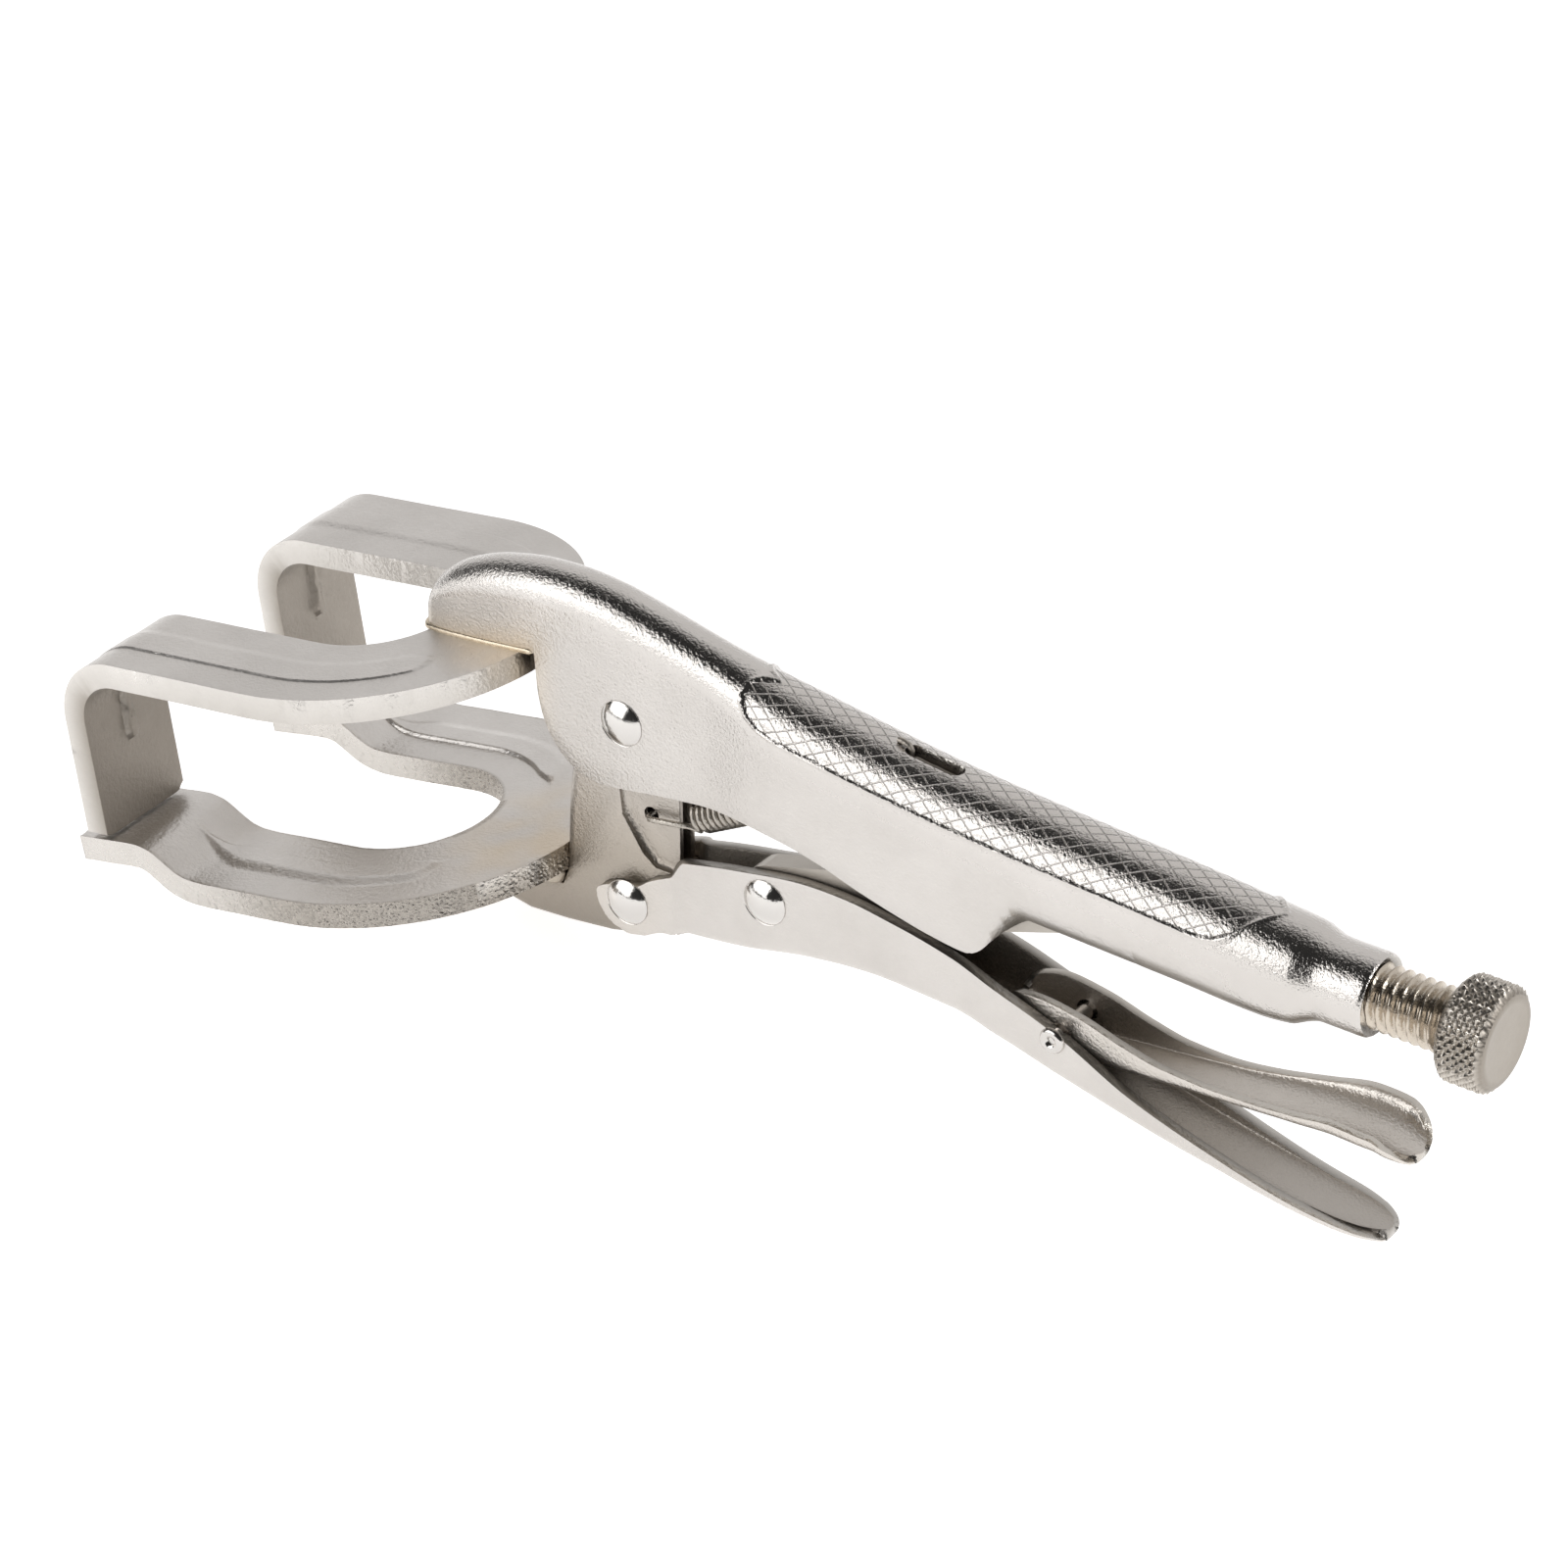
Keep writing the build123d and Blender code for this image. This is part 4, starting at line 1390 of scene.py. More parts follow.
def break_edges(obj: bpy.types.Object, width: float, segments: int,
                test: Callable[[Vector, Vector], bool]) -> None:
    """Bevel the edges whose two ends pass a test.

    Args:
        obj: the piece.
        width: bevel width in millimetres.
        segments: how round.
        test: takes both ends in millimetres from the jaw pivot.
    """
    pick(obj)
    bpy.ops.object.mode_set(mode="EDIT")
    bpy.ops.mesh.select_mode(type="EDGE")
    bpy.ops.mesh.select_all(action="DESELECT")
    bpy.ops.object.mode_set(mode="OBJECT")
    shift = Vector((BENCH.pivot_x, 0.0, BENCH.pivot_z))
    ends = [v.co / MM - shift for v in obj.data.vertices]
    for edge in obj.data.edges:
        edge.select = test(ends[edge.vertices[0]], ends[edge.vertices[1]])
    bpy.ops.object.mode_set(mode="EDIT")
    bpy.ops.mesh.bevel(offset=width * MM, segments=segments, profile=0.5, affect="EDGES")
    bpy.ops.object.mode_set(mode="OBJECT")


def cut_away(obj: bpy.types.Object, cutter: bpy.types.Object) -> None:
    """Subtract one block from a piece and throw the block away."""
    modify(obj, "BOOLEAN", operation="DIFFERENCE", object=cutter, solver="EXACT")
    bpy.data.objects.remove(cutter, do_unlink=True)


def turned(name: str, profile: Sequence[Point], x: float, z: float, steps: int = 48) -> bpy.types.Object:
    """A pin or bore across the tool, turned from its profile.

    Args:
        name: the piece's name.
        profile: (radius, position along the axis) pairs in millimetres.
        x: the axis' place.
        z: the axis' place.
        steps: how many facets round.

    Returns:
        The closed body.
    """
    def place(column: int, row: int) -> Place:
        """One place of the surface."""
        a = 2 * math.pi * column / steps
        radius, across = profile[row]
        return (x + radius * math.cos(a), across, z + radius * math.sin(a))

    obj = sheet_grid(name, steps + 1, len(profile), place)
    close_seams(obj)
    return obj


def wound(name: str, path: Sequence[Place], radius: float, sides: int = 4) -> bpy.types.Object:
    """A round wire along a path.

    Args:
        name: the piece's name.
        path: places in millimetres from the jaw pivot.
        radius: the wire's radius in millimetres.
        sides: resolution of the round.

    Returns:
        The wire as a closed mesh.
    """
    deselect()
    bpy.ops.curve.primitive_bezier_curve_add()
    obj = named(name)
    curve = obj.data
    curve.splines.clear()
    spline = curve.splines.new("POLY")
    spline.points.add(len(path) - 1)
    for point, place in zip(spline.points, path):
        point.co = (*BENCH.metres(place), 1.0)
    curve.dimensions = "3D"
    curve.bevel_depth = radius * MM
    curve.bevel_resolution = sides
    curve.use_fill_caps = True
    pick(obj)
    bpy.ops.object.convert(target="MESH")
    return bpy.context.object


def bead(name: str, path: Sequence[Place], radii: Sequence[float], lump: float) -> bpy.types.Object:
    """A weld bead: a lumpy round strip along a path.

    Args:
        name: the piece's name.
        path: places in millimetres.
        radii: radius at each place.
        lump: how uneven the bead is, in millimetres.

    Returns:
        The closed bead.
    """
    around = 17
    points = [Vector(p) for p in path]

    def place(column: int, row: int) -> Place:
        """One place of the bead's surface."""
        ahead = points[min(column + 1, len(points) - 1)] - points[max(column - 1, 0)]
        ahead.normalize()
        side = ahead.cross(Vector((0.0, 0.0, 1.0))).normalized()
        up = side.cross(ahead)
        a = 2 * math.pi * row / (around - 1)
        centre = points[column]
        radius = radii[column]
        if column in (0, len(points) - 1):
            radius = 0.02
        radius += lump * rumble(*centre, 0.9) * min(1.0, radius)
        spot = centre + (side * math.cos(a) + up * math.sin(a)) * radius
        return (spot.x, spot.y, spot.z)

    obj = sheet_grid(name, len(points), around, place)
    close_seams(obj, 0.00001)
    return obj


# ------------------------------------------------------------------ lower jaw bracket
@dataclass
class Bracket:
    """Sheet folded round its front edge, pinched behind the fold, with a toe under the fork."""

    half: float = 3.0
    outline: Sequence[Point] = (
        (-4.5, 6.4), (4.5, 6.4), (7.4, 2.6), (8.0, -2.0), (8.1, -10.0), (8.2, -23.0), (7.6, -26.6),
        (6.4, -32.0), (5.4, -34.4), (3.3, -36.5), (-4.0, -38.5), (-12.0, -39.6), (-19.0, -40.2),
        (-22.4, -39.6), (-24.6, -37.4), (-26.8, -34.6), (-27.0, -33.0), (-12.6, -33.0), (-12.4, -28.0),
        (-12.1, -20.0), (-11.4, -13.0), (-9.8, -6.0), (-7.5, 2.0), (-6.4, 4.8))
    pinch: Sequence[Point] = (
        (-1.9, -12.6), (0.4, -11.2), (3.0, -10.9), (12.0, -10.9), (12.0, -24.0), (4.4, -24.0),
        (2.2, -22.2), (-1.4, -16.8))
    pinch_depth: float = 1.15
    cavity: Sequence[Point] = ((-3.2, -11.0), (0.0, -9.0), (14.0, -9.0), (14.0, -27.0), (-3.2, -25.0))
    spring_hole: Point = (3.0, -16.0)
    hole_radius: float = 1.25

    def build(self) -> bpy.types.Object:
        """Model the bracket.

        Returns:
            The finished piece.
        """
        obj = outline_block("jaw_bracket", self.outline, -self.half, self.half)
        cavity = outline_block("cavity", self.cavity, -1.0, 1.0)

        def front_fold(a: Vector, b: Vector) -> bool:
            """Edges along the folded front, on both sides."""
            flat = abs(a.y - b.y) < 0.01
            front = max(a.x, b.x) < -6.0 and min(a.z, b.z) > -33.5 and max(a.z, b.z) < 5.0
            over_toe = abs(a.z + 33.0) < 0.1 and abs(b.z + 33.0) < 0.1
            return flat and front and not over_toe

        def toe(a: Vector, b: Vector) -> bool:
            """Edges along the toe's underside."""
            return abs(a.y - b.y) < 0.01 and max(a.z, b.z) < -33.6 and max(a.x, b.x) < 4.0

        break_edges(obj, 2.2, 6, front_fold)
        break_edges(obj, 1.3, 4, toe)
        for side in (-1, 1):
            inner = side * (self.half - self.pinch_depth)
            low, high = sorted((inner, side * (self.half + 2.0)))
            cutter = outline_block("pinch", self.pinch, low, high)
            break_edges(cutter, 1.0, 4, lambda a, b: abs(a.y - inner) < 0.01 and abs(b.y - inner) < 0.01)
            cut_away(obj, cutter)
        cut_away(obj, cavity)
        bore = ((0.0, -6.0), (self.hole_radius, -6.0), (self.hole_radius, 6.0), (0.0, 6.0))
        cut_away(obj, turned("bore", bore, *self.spring_hole))
        modify(obj, "BEVEL", width=0.35 * MM, segments=3, limit_method="ANGLE",
               angle_limit=math.radians(48))
        dress(obj, Look.PRESSED, Look.SHEARED)
        paint(obj, self.shine)
        soften(obj, 40.0)
        return hand_over(obj, BODY_JAW, "nickel_pressings", "lower_jaw_bracket")

    def shine(self, place: Place) -> Coat:
        """Golden-brown heat tint, darker all over and more towards the bottom, with painted shade in the
        slit between the folded sides.

        Args:
            place: millimetres from the jaw pivot.

        Returns:
            (polish, golden tint, darkening).
        """
        x, y, z = place
        gold = 0.55 * smooth(-z, 10.0, 26.0) * clamp(0.75 + 0.6 * rumble(x, y, z, 0.12))
        low_down = 0.35 * smooth(-z, 14.0, 30.0) + 0.25 * smooth(-z, 30.0, 38.0)
        # Painted shade in the slit between the folded sides (|y| < 1.2); the rest is darkened evenly and
        # more towards the bottom.
        return (0.4, clamp(gold * 0.8 + 0.05), clamp(0.48 + low_down + 0.5 * (abs(y) < 1.2)))


# ------------------------------------------------------------------ channels
@dataclass
class Channel:
    """A pressed channel: its walls and floor follow tables along the tool."""

    name: str = "channel"
    widths: Sequence[Point] = ()
    rims: Sequence[Point] = ()
    floors: Sequence[Point] = ()
    squareness: Sequence[Point] = ()
    spans: Sequence[tuple[float, float, int]] = ()
    rows: int = 61
    wall: float = 1.7
    rim_break: float = 0.14

    def columns(self) -> list[float]:
        """Positions of the grid's columns."""
        places = [low + (high - low) * n / count
                  for low, high, count in self.spans for n in range(count)]
        return places + [self.spans[-1][1]]

    def section(self, x: float) -> list[Point]:
        """Points (across, height) from the far rim round the floor to the near rim.

        Args:
            x: position along the channel.

        Returns:
            The section's points.
        """
        half, rim, floor = (curve_value(t, x) for t in (self.widths, self.rims, self.floors))
        power = curve_value(self.squareness, x)
        dense = []
        for n in range(241):
            a = math.pi * n / 240
            across, down = math.cos(a), math.sin(a)
            y = half * math.copysign(abs(across) ** (2.0 / power), across)
            z = rim - (rim - floor) * abs(down) ** (2.0 / power)
            dense.append((y, z))
        return resample(dense, self.rows)

    def surface(self) -> bpy.types.Object:
        """The open outer surface."""
        places = self.columns()
        table = [self.section(x) for x in places]
        return sheet_grid(self.name, len(places), self.rows,
                          lambda c, r: (places[c], table[c][r][0], table[c][r][1]))


@dataclass
class LowerHandle(Channel):
    """Lower handle: two spread ears, channel, spoon-shaped end."""

    name: str = "lower_handle_pressing"
    widths: Sequence[Point] = (
        (-5.0, 4.85), (8.4, 4.85), (10.2, 3.95), (32.0, 3.9), (48.0, 4.9), (58.0, 5.55), (66.0, 6.1),
        (88.0, 6.1), (100.0, 5.9), (114.0, 5.6), (120.0, 5.3), (124.0, 4.6), (126.3, 3.5), (127.3, 2.5),
        (127.6, 1.8))
    rims: Sequence[Point] = (
        (-5.0, -30.2), (-4.9, -29.3), (-4.4, -27.9), (-3.4, -26.5), (-1.7, -25.3), (0.6, -24.8),
        (2.4, -24.2), (4.6, -22.6), (9.5, -20.9), (20.0, -18.4), (32.0, -16.4), (40.0, -16.1),
        (48.0, -16.6), (58.0, -18.0), (66.0, -20.3), (76.0, -23.7), (88.0, -29.4), (100.0, -33.4),
        (114.0, -37.0), (123.0, -38.4), (126.4, -39.1), (127.6, -39.75))
    floors: Sequence[Point] = (
        (-5.0, -30.7), (-4.9, -31.6), (-4.4, -33.0), (-3.4, -34.4), (-1.7, -35.5), (0.6, -36.05),
        (3.0, -35.6), (5.4, -34.4), (7.6, -33.6), (9.5, -33.4), (20.0, -32.0), (32.0, -29.3),
        (48.0, -27.3), (58.0, -27.3), (66.0, -28.8), (76.0, -31.5), (88.0, -34.3), (100.0, -37.0),
        (114.0, -39.4), (123.0, -40.2), (127.6, -40.3))
    squareness: Sequence[Point] = (
        (-5.0, 60.0), (8.5, 40.0), (10.5, 9.0), (48.0, 8.0), (70.0, 6.5), (88.0, 4.5), (104.0, 2.9),
        (127.6, 2.2))
    spans: Sequence[tuple[float, float, int]] = (
        (-5.0, -4.4, 8), (-4.4, -1.0, 12), (-1.0, 8.0, 16), (8.0, 10.8, 12), (10.8, 60.0, 70),
        (60.0, 120.0, 90), (120.0, 127.6, 30))

    def build(self) -> bpy.types.Object:
        """Model the lower handle.

        Returns:
            The finished piece.
        """
        obj = self.surface()
        drop_faces(obj, lambda p: p[0] < 9.2 and abs(p[1]) < curve_value(self.widths, p[0]) - 0.25)
        dress(obj, Look.PRESSED, Look.SHEARED)
        thicken(obj, self.wall, self.rim_break, 2, False)
        paint(obj, self.shine)
        soften(obj, 40.0)
        return hand_over(obj, BODY_ARM, "nickel_pressings", "lower_handle")

    def shine(self, place: Place) -> Coat:
        """Painted shade inside the channel, less of it and more polish towards the spoon, gold low on the
        ears.

        Args:
            place: millimetres from the jaw pivot.

        Returns:
            (polish, golden tint, painted shade).
        """
        x, y, z = place
        half, floor = curve_value(self.widths, x), curve_value(self.floors, x)
        inside = abs(y) < half - 0.9 and z > floor + 0.9
        # Painted shade on the channel's inner faces, easing by a third towards the spoon.
        grime_and_shade = 0.85 * (1.0 - 0.35 * smooth(x, 92.0, 116.0)) if inside else 0.0
        return (0.3 * smooth(x, 60.0, 100.0), 0.10 * (1.0 - smooth(x, 0.0, 14.0)), grime_and_shade)


@dataclass
class ReleaseLever(Channel):
    """Release lever: small channel with a wide, dished paddle."""

    name: str = "release_lever_pressing"
    widths: Sequence[Point] = (
        (65.6, 1.6), (66.0, 2.6), (67.0, 3.3), (69.0, 3.9), (72.0, 4.2), (94.0, 4.3), (102.0, 4.6),
        (110.0, 5.4), (118.0, 6.2), (124.0, 6.45), (127.6, 6.1), (129.6, 5.1), (130.8, 3.8),
        (131.3, 2.6), (131.4, 2.0))
    rims: Sequence[Point] = (
        (65.6, -23.2), (66.4, -21.8), (68.0, -20.8), (72.0, -20.2), (78.0, -20.9), (86.0, -23.0),
        (92.0, -24.1), (98.0, -24.3), (106.0, -23.6), (114.0, -22.2), (121.0, -20.9), (126.0, -21.1),
        (129.0, -22.5), (130.6, -23.9), (131.4, -25.0))
    floors: Sequence[Point] = (
        (65.6, -24.2), (66.4, -25.0), (68.0, -25.9), (72.0, -27.4), (78.0, -28.3), (86.0, -27.7),
        (96.0, -26.8), (104.0, -26.2), (112.0, -25.4), (120.0, -24.8), (126.0, -24.9), (129.6, -25.5),
        (131.4, -25.7))
    squareness: Sequence[Point] = (
        (65.6, 3.0), (70.0, 6.0), (86.0, 5.0), (98.0, 3.0), (112.0, 2.1), (131.4, 2.0))
    spans: Sequence[tuple[float, float, int]] = (
        (65.6, 68.0, 14), (68.0, 84.0, 40), (84.0, 120.0, 70), (120.0, 131.4, 40))
    wall: float = 1.3
    rim_break: float = 0.12
    bore_radius: float = 1.75

    def build(self) -> bpy.types.Object:
        """Model the release lever.

        Returns:
            The finished piece.
        """
        obj = self.surface()
        dress(obj, Look.PRESSED, Look.SHEARED)
        thicken(obj, self.wall, self.rim_break, 2, False)
        bore = ((0.0, -9.0), (self.bore_radius, -9.0), (self.bore_radius, 9.0), (0.0, 9.0))
        cut_away(obj, turned("pin_bore", bore, *RELEASE_PIN_AT))
        paint(obj, self.shine)
        soften(obj, 40.0)
        return hand_over(obj, "release", "nickel_pressings", "release_lever")

    def shine(self, place: Place) -> Coat:
        """Warm painted shade inside the channel, fading along the paddle, and a little gold along the
        paddle.

        Args:
            place: millimetres from the jaw pivot.

        Returns:
            (polish, golden tint, painted shade).
        """
        x, y, z = place
        half, floor = curve_value(self.widths, x), curve_value(self.floors, x)
        inside = z > floor + 0.75 and abs(y) < half - 0.5
        # Painted shade on the inner faces, fading out along the paddle.
        return (0.2, 0.12, 0.55 * (1.0 - 0.9 * smooth(x, 90.0, 110.0)) if inside else 0.0)


# ------------------------------------------------------------------ screw and knob
@dataclass
class Screw:
    """Adjusting screw: helical thread and pointed lead-in."""

    axis_z: float = SCREW_AXIS_Z
    radius: float = 4.76
    depth: float = 0.86
    pitch: float = 1.5875
    start: float = 91.2
    end: float = 135.05
    steps: int = 40
    rings_per_turn: int = 10
    lead_in: float = 2.5
    core: float = 4.2

    def build(self) -> bpy.types.Object:
        """Model the shank.

        Returns:
            The finished piece.
        """
        count = int((self.end - self.start) / self.pitch * self.rings_per_turn)
        profile = [self.start] + [self.start + 0.02 + (self.end - self.start - 0.04) * n / count
                                  for n in range(count + 1)] + [self.end]

        def place(column: int, row: int) -> Place:
            """One place of the threaded surface."""
            a = 2 * math.pi * column / self.steps
            x = profile[row]
            if row in (0, len(profile) - 1):
                return (x, 0.0, self.axis_z)
            phase = (x / self.pitch - a / (2 * math.pi)) % 1.0
            flank = clamp(abs(phase - 0.5) * 2.0 * 1.25 - 0.12)
            fade = smooth(x, self.start, self.start + self.lead_in)
            radius = self.radius - self.depth * (1.0 - fade) - self.depth * flank * fade
            return (x, radius * math.cos(a), self.axis_z + radius * math.sin(a))

        obj = sheet_grid("adjusting_screw_thread", self.steps + 1, len(profile), place)
        close_seams(obj)
        dress(obj, Look.THREAD)
        paint(obj, lambda p: (0.3, 0.2, 0.15 * (math.hypot(p[1], p[2] - self.axis_z) < self.core)))
        soften(obj, 50.0)
        return hand_over(obj, "screw", "screw", "adjusting_screw")


@dataclass
class Knob:
    """Head of the screw: diamond knurl, chamfered rims, flat worn end."""

    axis_z: float = SCREW_AXIS_Z
    radius: float = 7.8
    start: float = 135.2
    end: float = 142.8
    teeth: int = 34
    steps: int = 320
    tooth_depth: float = 0.52
    lean: float = 1.35

    def build(self) -> bpy.types.Object:
        """Model the knob.

        Returns:
            The finished piece.
        """
        rings = [(0.0, 0.0), (4.9, 0.0), (6.3, 0.0), (6.9, 0.25)]
        rings += [(self.radius, 0.95 + 5.7 * n / 30) for n in range(31)]
        rings += [(7.5, 6.85), (7.1, 7.2), (6.7, 7.43), (6.3, 7.56), (5.9, 7.6), (5.5, 7.55), (5.0, 7.45),
                  (3.0, 7.4), (0.0, 7.38)]

        def place(column: int, row: int) -> Place:
            """One place of the knob's surface."""
            a = 2 * math.pi * column / self.steps
            radius, along = rings[row]
            if radius > 6.85:
                turn = self.teeth * a / (2 * math.pi)
                shift = along / self.lean
                cut = max(self.groove(turn + shift), self.groove(turn - shift))
                radius -= self.tooth_depth * cut * (1.0 if radius > 7.5 else 0.6)
            return (self.start + along, radius * math.cos(a), self.axis_z + radius * math.sin(a))

        obj = sheet_grid("adjusting_knob_head", self.steps + 1, len(rings), place)
        close_seams(obj)
        dress(obj, Look.KNURL)
        paint(obj, self.shine)
        soften(obj, 30.0)
        return hand_over(obj, "knob", "knob", "adjusting_knob")

    @staticmethod
    def groove(turn: float) -> float:
        """Depth share of one set of grooves.

        Args:
            turn: position counted in grooves.

        Returns:
            A number from 0 to 1.
        """
        phase = turn % 1.0
        away = min(phase, 1.0 - phase) * 2.0
        return max(0.0, 1.0 - away / 0.85)

    def shine(self, place: Place) -> Coat:
        """Bright tooth tips, darker in the grooves, and a warm, darker end face.

        Args:
            place: millimetres from the jaw pivot.

        Returns:
            (polish, golden tint, darkening).
        """
        x, y, z = place
        radius = math.hypot(y, z - self.axis_z)
        low = 1.0 - smooth(radius, 7.3, 7.75)
        side = self.start + 0.5 < x < self.end - 0.55
        rim = 1.0 - smooth(abs(radius - 6.6), 0.3, 1.1)
        return (0.5 * (1.0 - low), 0.2, 0.55 * low if side else 0.75 + 0.2 * rim)


# ------------------------------------------------------------------ pins and spring
@dataclass
class Pins:
    """Domed rivets and the small tubular release pin."""

    def dome(self, half: float, radius: float, head: float, height: float) -> list[Point]:
        """Profile of a rivet with two domed heads.

        Args:
            half: half the length between the heads.
            radius: the shank's radius.
            head: the heads' radius.
            height: how far a head stands out.

        Returns:
            (radius, position across) pairs.
        """
        ball = (head ** 2 + height ** 2) / (2 * height)
        cap = [(0.0, half + height)]
        for n in range(1, 15):
            r = head * math.sin(math.pi / 2 * n / 14)
            cap.append((r, half + height - ball + math.sqrt(ball * ball - r * r)))
        cap[-1] = (head, half + 0.12)
        cap.append((head - 0.1, half + 0.01))
        far = cap + [(radius, half + 0.01)]
        return far + [(r, -y) for r, y in reversed(far)]

    def build(self) -> list[bpy.types.Object]:
        """Model all pins.

        Returns:
            The finished pieces.
        """
        pieces = []
        for name, node, body, x, z, half in (
                ("jaw_rivet", "jaw_pivot_rivet", BODY_UPPER, 0.0, 0.0, 4.85),
                ("handle_rivet", "handle_pivot_rivet", BODY_ARM, 0.6, -30.45, 4.85),
                ("toggle_head_rivet", "toggle_rivet", BODY_ARM, 24.6, -22.05, 3.9)):
            obj = turned(name, self.dome(half, 2.5, 3.7, 1.5), x, z, 56)
            dress(obj, Look.POLISHED)
            paint(obj, plain)
            soften(obj, 50.0)
            pieces.append(hand_over(obj, body, "rivets", node))
        head = [(0.0, 6.25), (0.55, 6.25), (0.85, 6.72), (1.25, 6.86), (1.7, 6.7), (2.0, 6.35),
                (2.0, 6.12), (1.3, 6.12)]
        tube = head + [(r, -y) for r, y in reversed(head)]
        obj = turned("release_pin_tube", tube, *RELEASE_PIN_AT, 40)
        dress(obj, Look.POLISHED)
        # Painted shade on the shank hidden between the walls; the heads are only slightly darker.
        paint(obj, lambda p: (0.0, 0.0, 0.5 if abs(p[1]) < 5.5 else 0.1))
        soften(obj, 50.0)
        pieces.append(hand_over(obj, BODY_ARM, "rivets", "release_pin"))
        return pieces


@dataclass
class ReturnSpring:
    """Tension spring: close coil with a hook at each end."""

    wire: float = 0.45
    radius: float = 2.45
    start: Point = (11.0, -14.0)
    end: Point = (38.5, 1.2)
    turns: int = 28
    points_per_turn: int = 20
    front_hook: Sequence[Place] = (
        (2.6, 2.9, -16.3), (2.7, 2.3, -16.1), (2.9, 0.0, -16.0), (3.0, -2.4, -16.0), (3.5, -3.0, -15.9),
        (4.6, -3.1, -15.7), (8.6, -2.9, -15.1), (10.2, -2.2, -15.2))
    rear_hook: Sequence[Place] = (
        (40.5, 0.0, 2.6), (44.0, 0.0, 5.6), (46.4, 0.0, 7.4), (47.1, 0.0, 8.6), (47.2, 0.0, 9.8),
        (46.7, 0.0, 10.5), (45.7, 0.0, 10.75), (44.9, 0.0, 10.8))

    def path(self) -> list[Place]:
        """The wire's middle line."""
        length = math.dist(self.start, self.end)
        ahead = ((self.end[0] - self.start[0]) / length, (self.end[1] - self.start[1]) / length)
        up = (-ahead[1], ahead[0])
        points: list[Place] = list(self.front_hook)
        count = self.turns * self.points_per_turn
        for n in range(count + 1):
            a = 2 * math.pi * n / self.points_per_turn - math.pi * 0.75
            t = length * n / count
            side, lift = self.radius * math.sin(a), self.radius * math.cos(a)
            points.append((self.start[0] + ahead[0] * t + up[0] * lift, side,
                           self.start[1] + ahead[1] * t + up[1] * lift))
        return points + list(self.rear_hook)

    def build(self) -> bpy.types.Object:
        """Model the spring.

        Returns:
            The finished piece.
        """
        obj = wound("return_spring_wire", self.path(), self.wire, 4)
        dress(obj, Look.WIRE)
        # Painted shade: the coil darkens towards the rear, where it runs up between the upper handle's
        # walls.
        paint(obj, lambda p: (0.3, 0.1, 0.2 + 0.5 * smooth(p[0], 12.0, 26.0)))
        soften(obj, 60.0)
        first, last = BENCH.metres((5.0, 0.0, -15.6)), BENCH.metres((40.0, 0.0, 2.5))
        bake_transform(obj)
        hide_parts("return_spring")
        LOG.info("%s: %d faces from %s to %s", obj.name, len(obj.data.polygons), BODY_JAW, BODY_UPPER)
        return obj


@dataclass
class Welds:
    """Brazed fillet round the nose and weld beads under the lower fork."""

    nose_steps: int = 60
    bead_steps: int = 24
    bead_length: float = 17.0

    def build(self) -> list[bpy.types.Object]:
        """Model the beads.

        Returns:
            The finished pieces.
        """
        pieces = []
        slope = math.tan(math.radians(UpperFork.slope))
        around: list[Place] = []
        for n in range(self.nose_steps + 1):
            t = n / self.nose_steps
            if t < 0.42:
                x, y = -15.6 - 20.0 * t / 0.42, -1.0
            elif t > 0.58:
                x, y = -35.6 + 20.0 * (t - 0.58) / 0.42, 1.0
            else:
                a = math.pi * (t - 0.42) / 0.16
                x, y = -35.6 - 2.0 * math.sin(a), -math.cos(a)
            half = curve_value(UpperHandle.widths, max(x, -35.4))
            around.append((x, y * (half - 0.15), 8.95 + slope * x + 0.05))
        obj = bead("nose_braze", around, [0.5] * len(around), 0.08)
        dress(obj, Look.BRAZED)
        paint(obj, lambda p: (0.2, 0.45, 0.0))
        soften(obj, 60.0)
        pieces.append(hand_over(obj, BODY_UPPER, "braze", "upper_jaw_weld"))
        under = []
        for side in (-1, 1):
            steps, length = self.bead_steps, self.bead_length
            path = [(-29.0 + length * n / steps, side * (3.2 + 0.5 * math.sin(n / steps * math.pi)),
                     -33.9 + length * n / steps * 0.194 - 0.25) for n in range(steps + 1)]
            radii = [0.9 + 0.8 * n / steps for n in range(steps + 1)]
            under.append(bead("jaw_weld", path, radii, 0.5))
        pick(under[0])
        under[1].select_set(True)
        bpy.ops.object.join()
        obj = under[0]
        obj.name = "jaw_weld_beads"
        dress(obj, Look.BRAZED)
        paint(obj, lambda p: (0.1, 0.2, 0.55))
        soften(obj, 60.0)
        pieces.append(hand_over(obj, BODY_JAW, "braze", "lower_jaw_weld"))
        return pieces


@dataclass
class Carried:
    """The hidden toggle link keeps its CAD shape and gets a finish."""

    def build(self, frame: dict[str, object]) -> None:
        """Dress the link."""
        link = frame["nodes"]["toggle_link"]
        dress(link, Look.INSIDE)
        LOG.info("toggle_link: keeps its CAD shape")


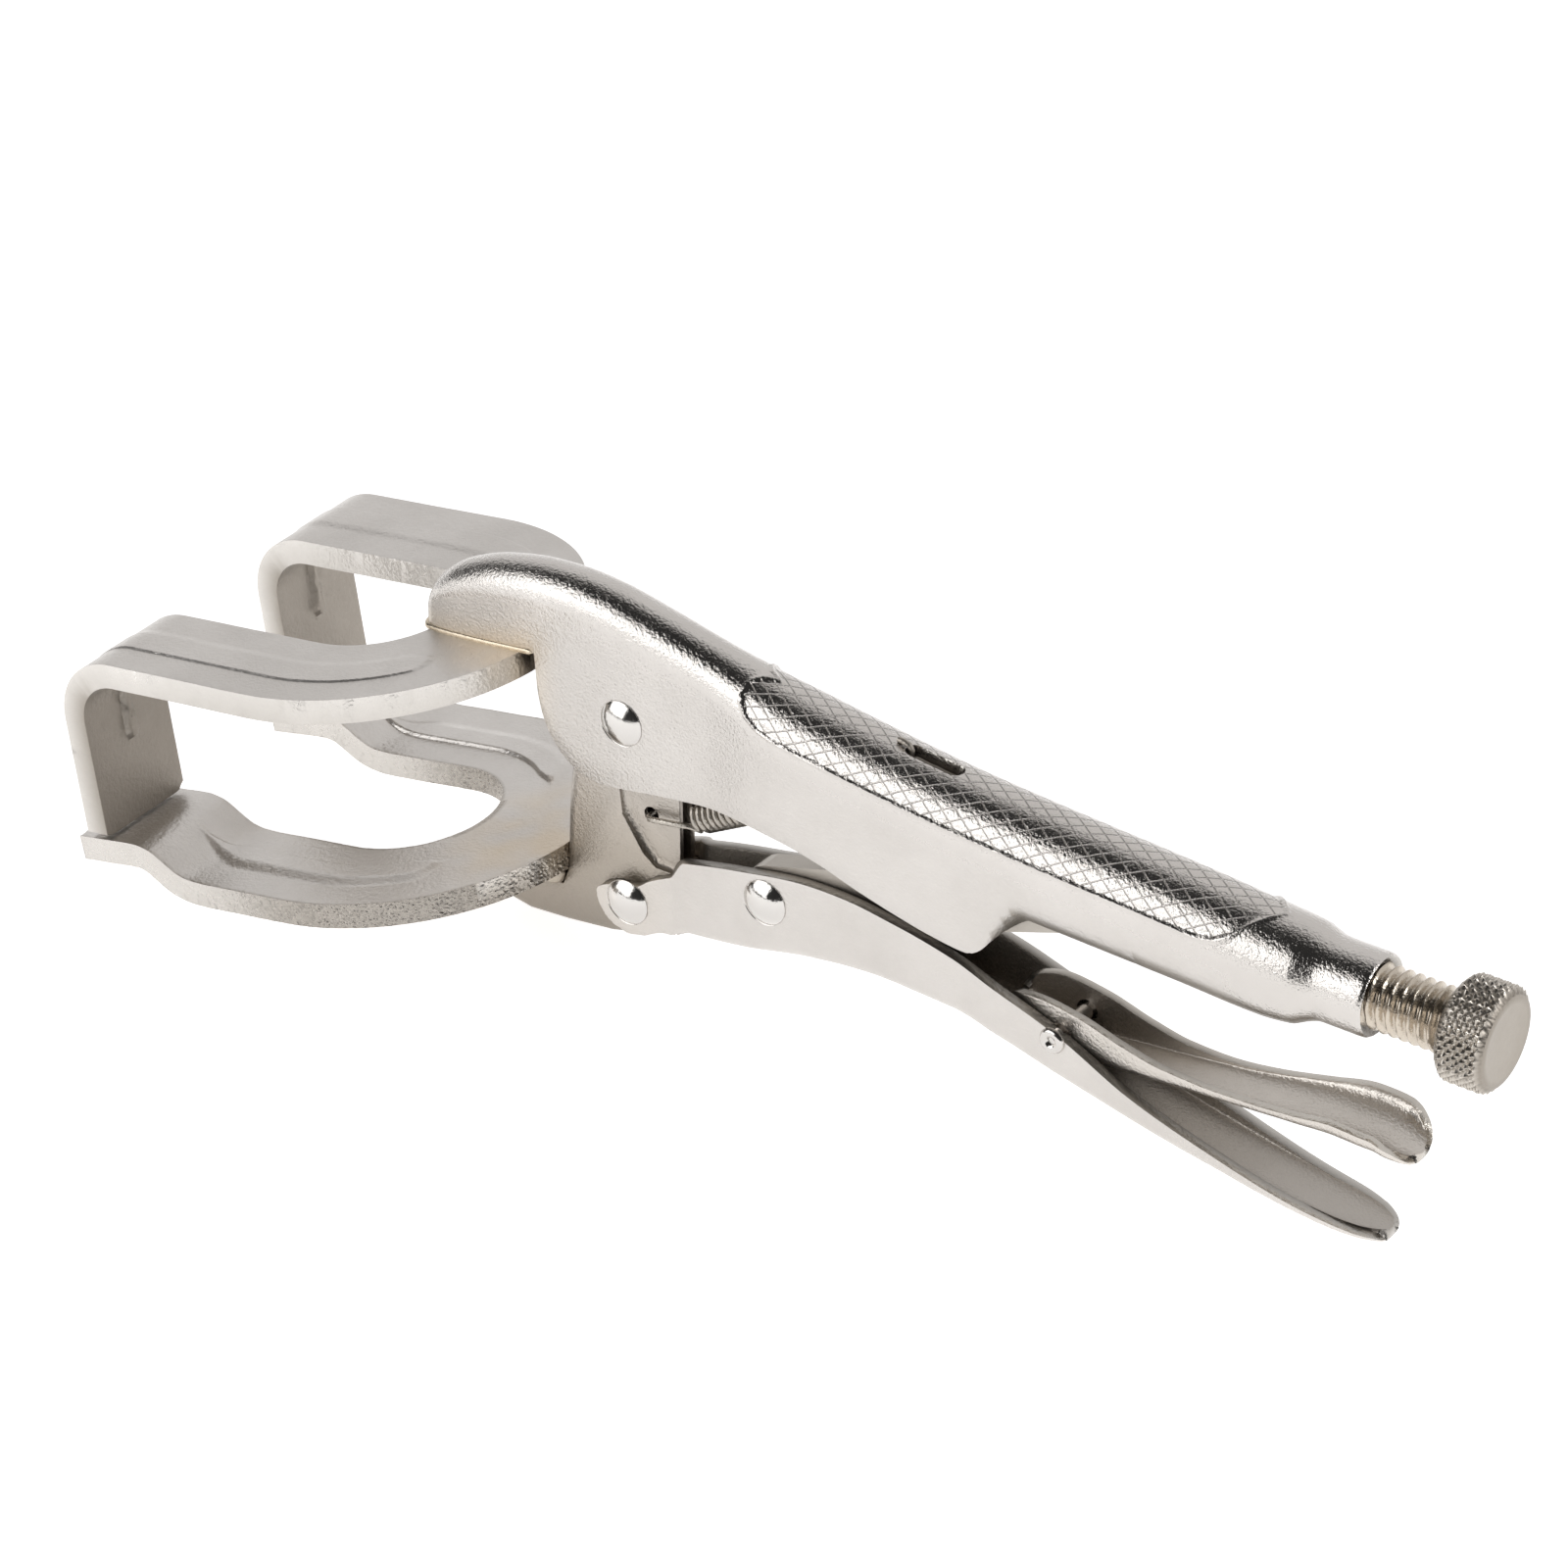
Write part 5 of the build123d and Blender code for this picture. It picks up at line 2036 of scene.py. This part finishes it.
# ------------------------------------------------------------------ studio
@dataclass
class Studio:
    """Pale floor, soft light and the camera."""

    azimuth: float = 35.10
    elevation: float = 32.03
    lens: float = 135.0
    camera_place: Place = (434.7, -582.5, 441.8)
    floor_glow: float = 0.76
    sky_span: Point = (0.05, 0.50)
    sky_light: Point = (0.03, 0.80)

    def camera(self) -> None:
        """Place the camera."""
        deselect()
        bpy.ops.object.camera_add(location=BENCH.metres(self.camera_place))
        camera = bpy.context.object
        camera.name = "camera"
        camera.data.sensor_width = 36.0
        camera.data.lens = self.lens
        camera.data.clip_start = 0.01
        camera.data.clip_end = 50.0
        a, e = math.radians(self.azimuth), math.radians(self.elevation)
        back = Vector((math.sin(a) * math.cos(e), -math.cos(a) * math.cos(e), math.sin(e)))
        right = Vector((math.cos(a), math.sin(a), 0.0))
        up = back.cross(right)
        turn = Matrix((right, up, back)).transposed()
        camera.rotation_euler = turn.to_euler()
        bpy.context.scene.camera = camera

    def softbox(self, name: str, place: Place, size: tuple[float, float], power: float,
                target: Place = (0.0, 0.0, 0.03)) -> None:
        """Add one rectangular soft light aimed at the tool.

        Args:
            name: the light's name.
            place: metres in the frame.
            size: width and height in metres.
            power: watts.
            target: what it is aimed at.
        """
        deselect()
        bpy.ops.object.light_add(type="AREA", location=place)
        lamp = bpy.context.object
        lamp.name = name
        lamp.data.shape = "RECTANGLE"
        lamp.data.size, lamp.data.size_y = size
        lamp.data.energy = power
        aim = Vector(target) - Vector(place)
        lamp.rotation_euler = aim.to_track_quat("-Z", "Y").to_euler()

    def floor(self) -> None:
        """Add the pale floor."""
        deselect()
        bpy.ops.mesh.primitive_plane_add(size=12.0, location=(0.0, 0.0, -0.0004))
        plane = named("floor")
        graph = Graph("pale_floor")
        graph.finish(Base_Color=(0.92, 0.92, 0.92, 1.0), Roughness=0.9,
                     Emission_Color=(1.0, 1.0, 1.0, 1.0), Emission_Strength=self.floor_glow)
        plane.data.materials.append(graph.material)

    def sky(self) -> None:
        """Soft surroundings: dark towards the camera's side, light behind the tool."""
        world = bpy.data.worlds.new("surroundings")
        bpy.context.scene.world = world
        world.use_nodes = True
        tree = world.node_tree
        tree.nodes.clear()
        output = tree.nodes.new("ShaderNodeOutputWorld")
        shade = tree.nodes.new("ShaderNodeBackground")
        tree.links.new(shade.outputs[0], output.inputs[0])
        place = tree.nodes.new("ShaderNodeTexCoord")
        split = tree.nodes.new("ShaderNodeSeparateXYZ")
        tree.links.new(place.outputs["Generated"], split.inputs[0])
        ramp = tree.nodes.new("ShaderNodeMapRange")
        ramp.interpolation_type = "SMOOTHSTEP"
        for number, value in enumerate((*self.sky_span, *self.sky_light), 1):
            ramp.inputs[number].default_value = value
        tree.links.new(split.outputs["Y"], ramp.inputs[0])
        tree.links.new(ramp.outputs[0], shade.inputs["Strength"])
        shade.inputs["Color"].default_value = (1.0, 0.99, 0.985, 1.0)

    def build(self) -> None:
        """Set the whole studio."""
        scene = bpy.context.scene
        scene.view_settings.view_transform = "Standard"
        scene.view_settings.look = "None"
        self.camera()
        self.floor()
        self.sky()
        self.softbox("front_softbox", (-0.8, -1.15, 0.68), (1.7, 1.15), 12.5)
        self.softbox("right_strip", (1.3, 0.2, 0.8), (0.3, 0.9), 5.0)


def main() -> None:
    """Build the tool around its frame and light it."""
    logging.basicConfig(level=logging.INFO, format="%(name)s %(message)s")
    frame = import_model()
    BENCH.locate()
    Studio().build()
    UpperHandle().build()
    UpperFork().build()
    LowerFork().build()
    Bracket().build()
    Welds().build()
    LowerHandle().build()
    ReleaseLever().build()
    Screw().build()
    Knob().build()
    Pins().build()
    ReturnSpring().build()
    Carried().build(frame)
    deselect()


if __name__ == "__main__":
    main()
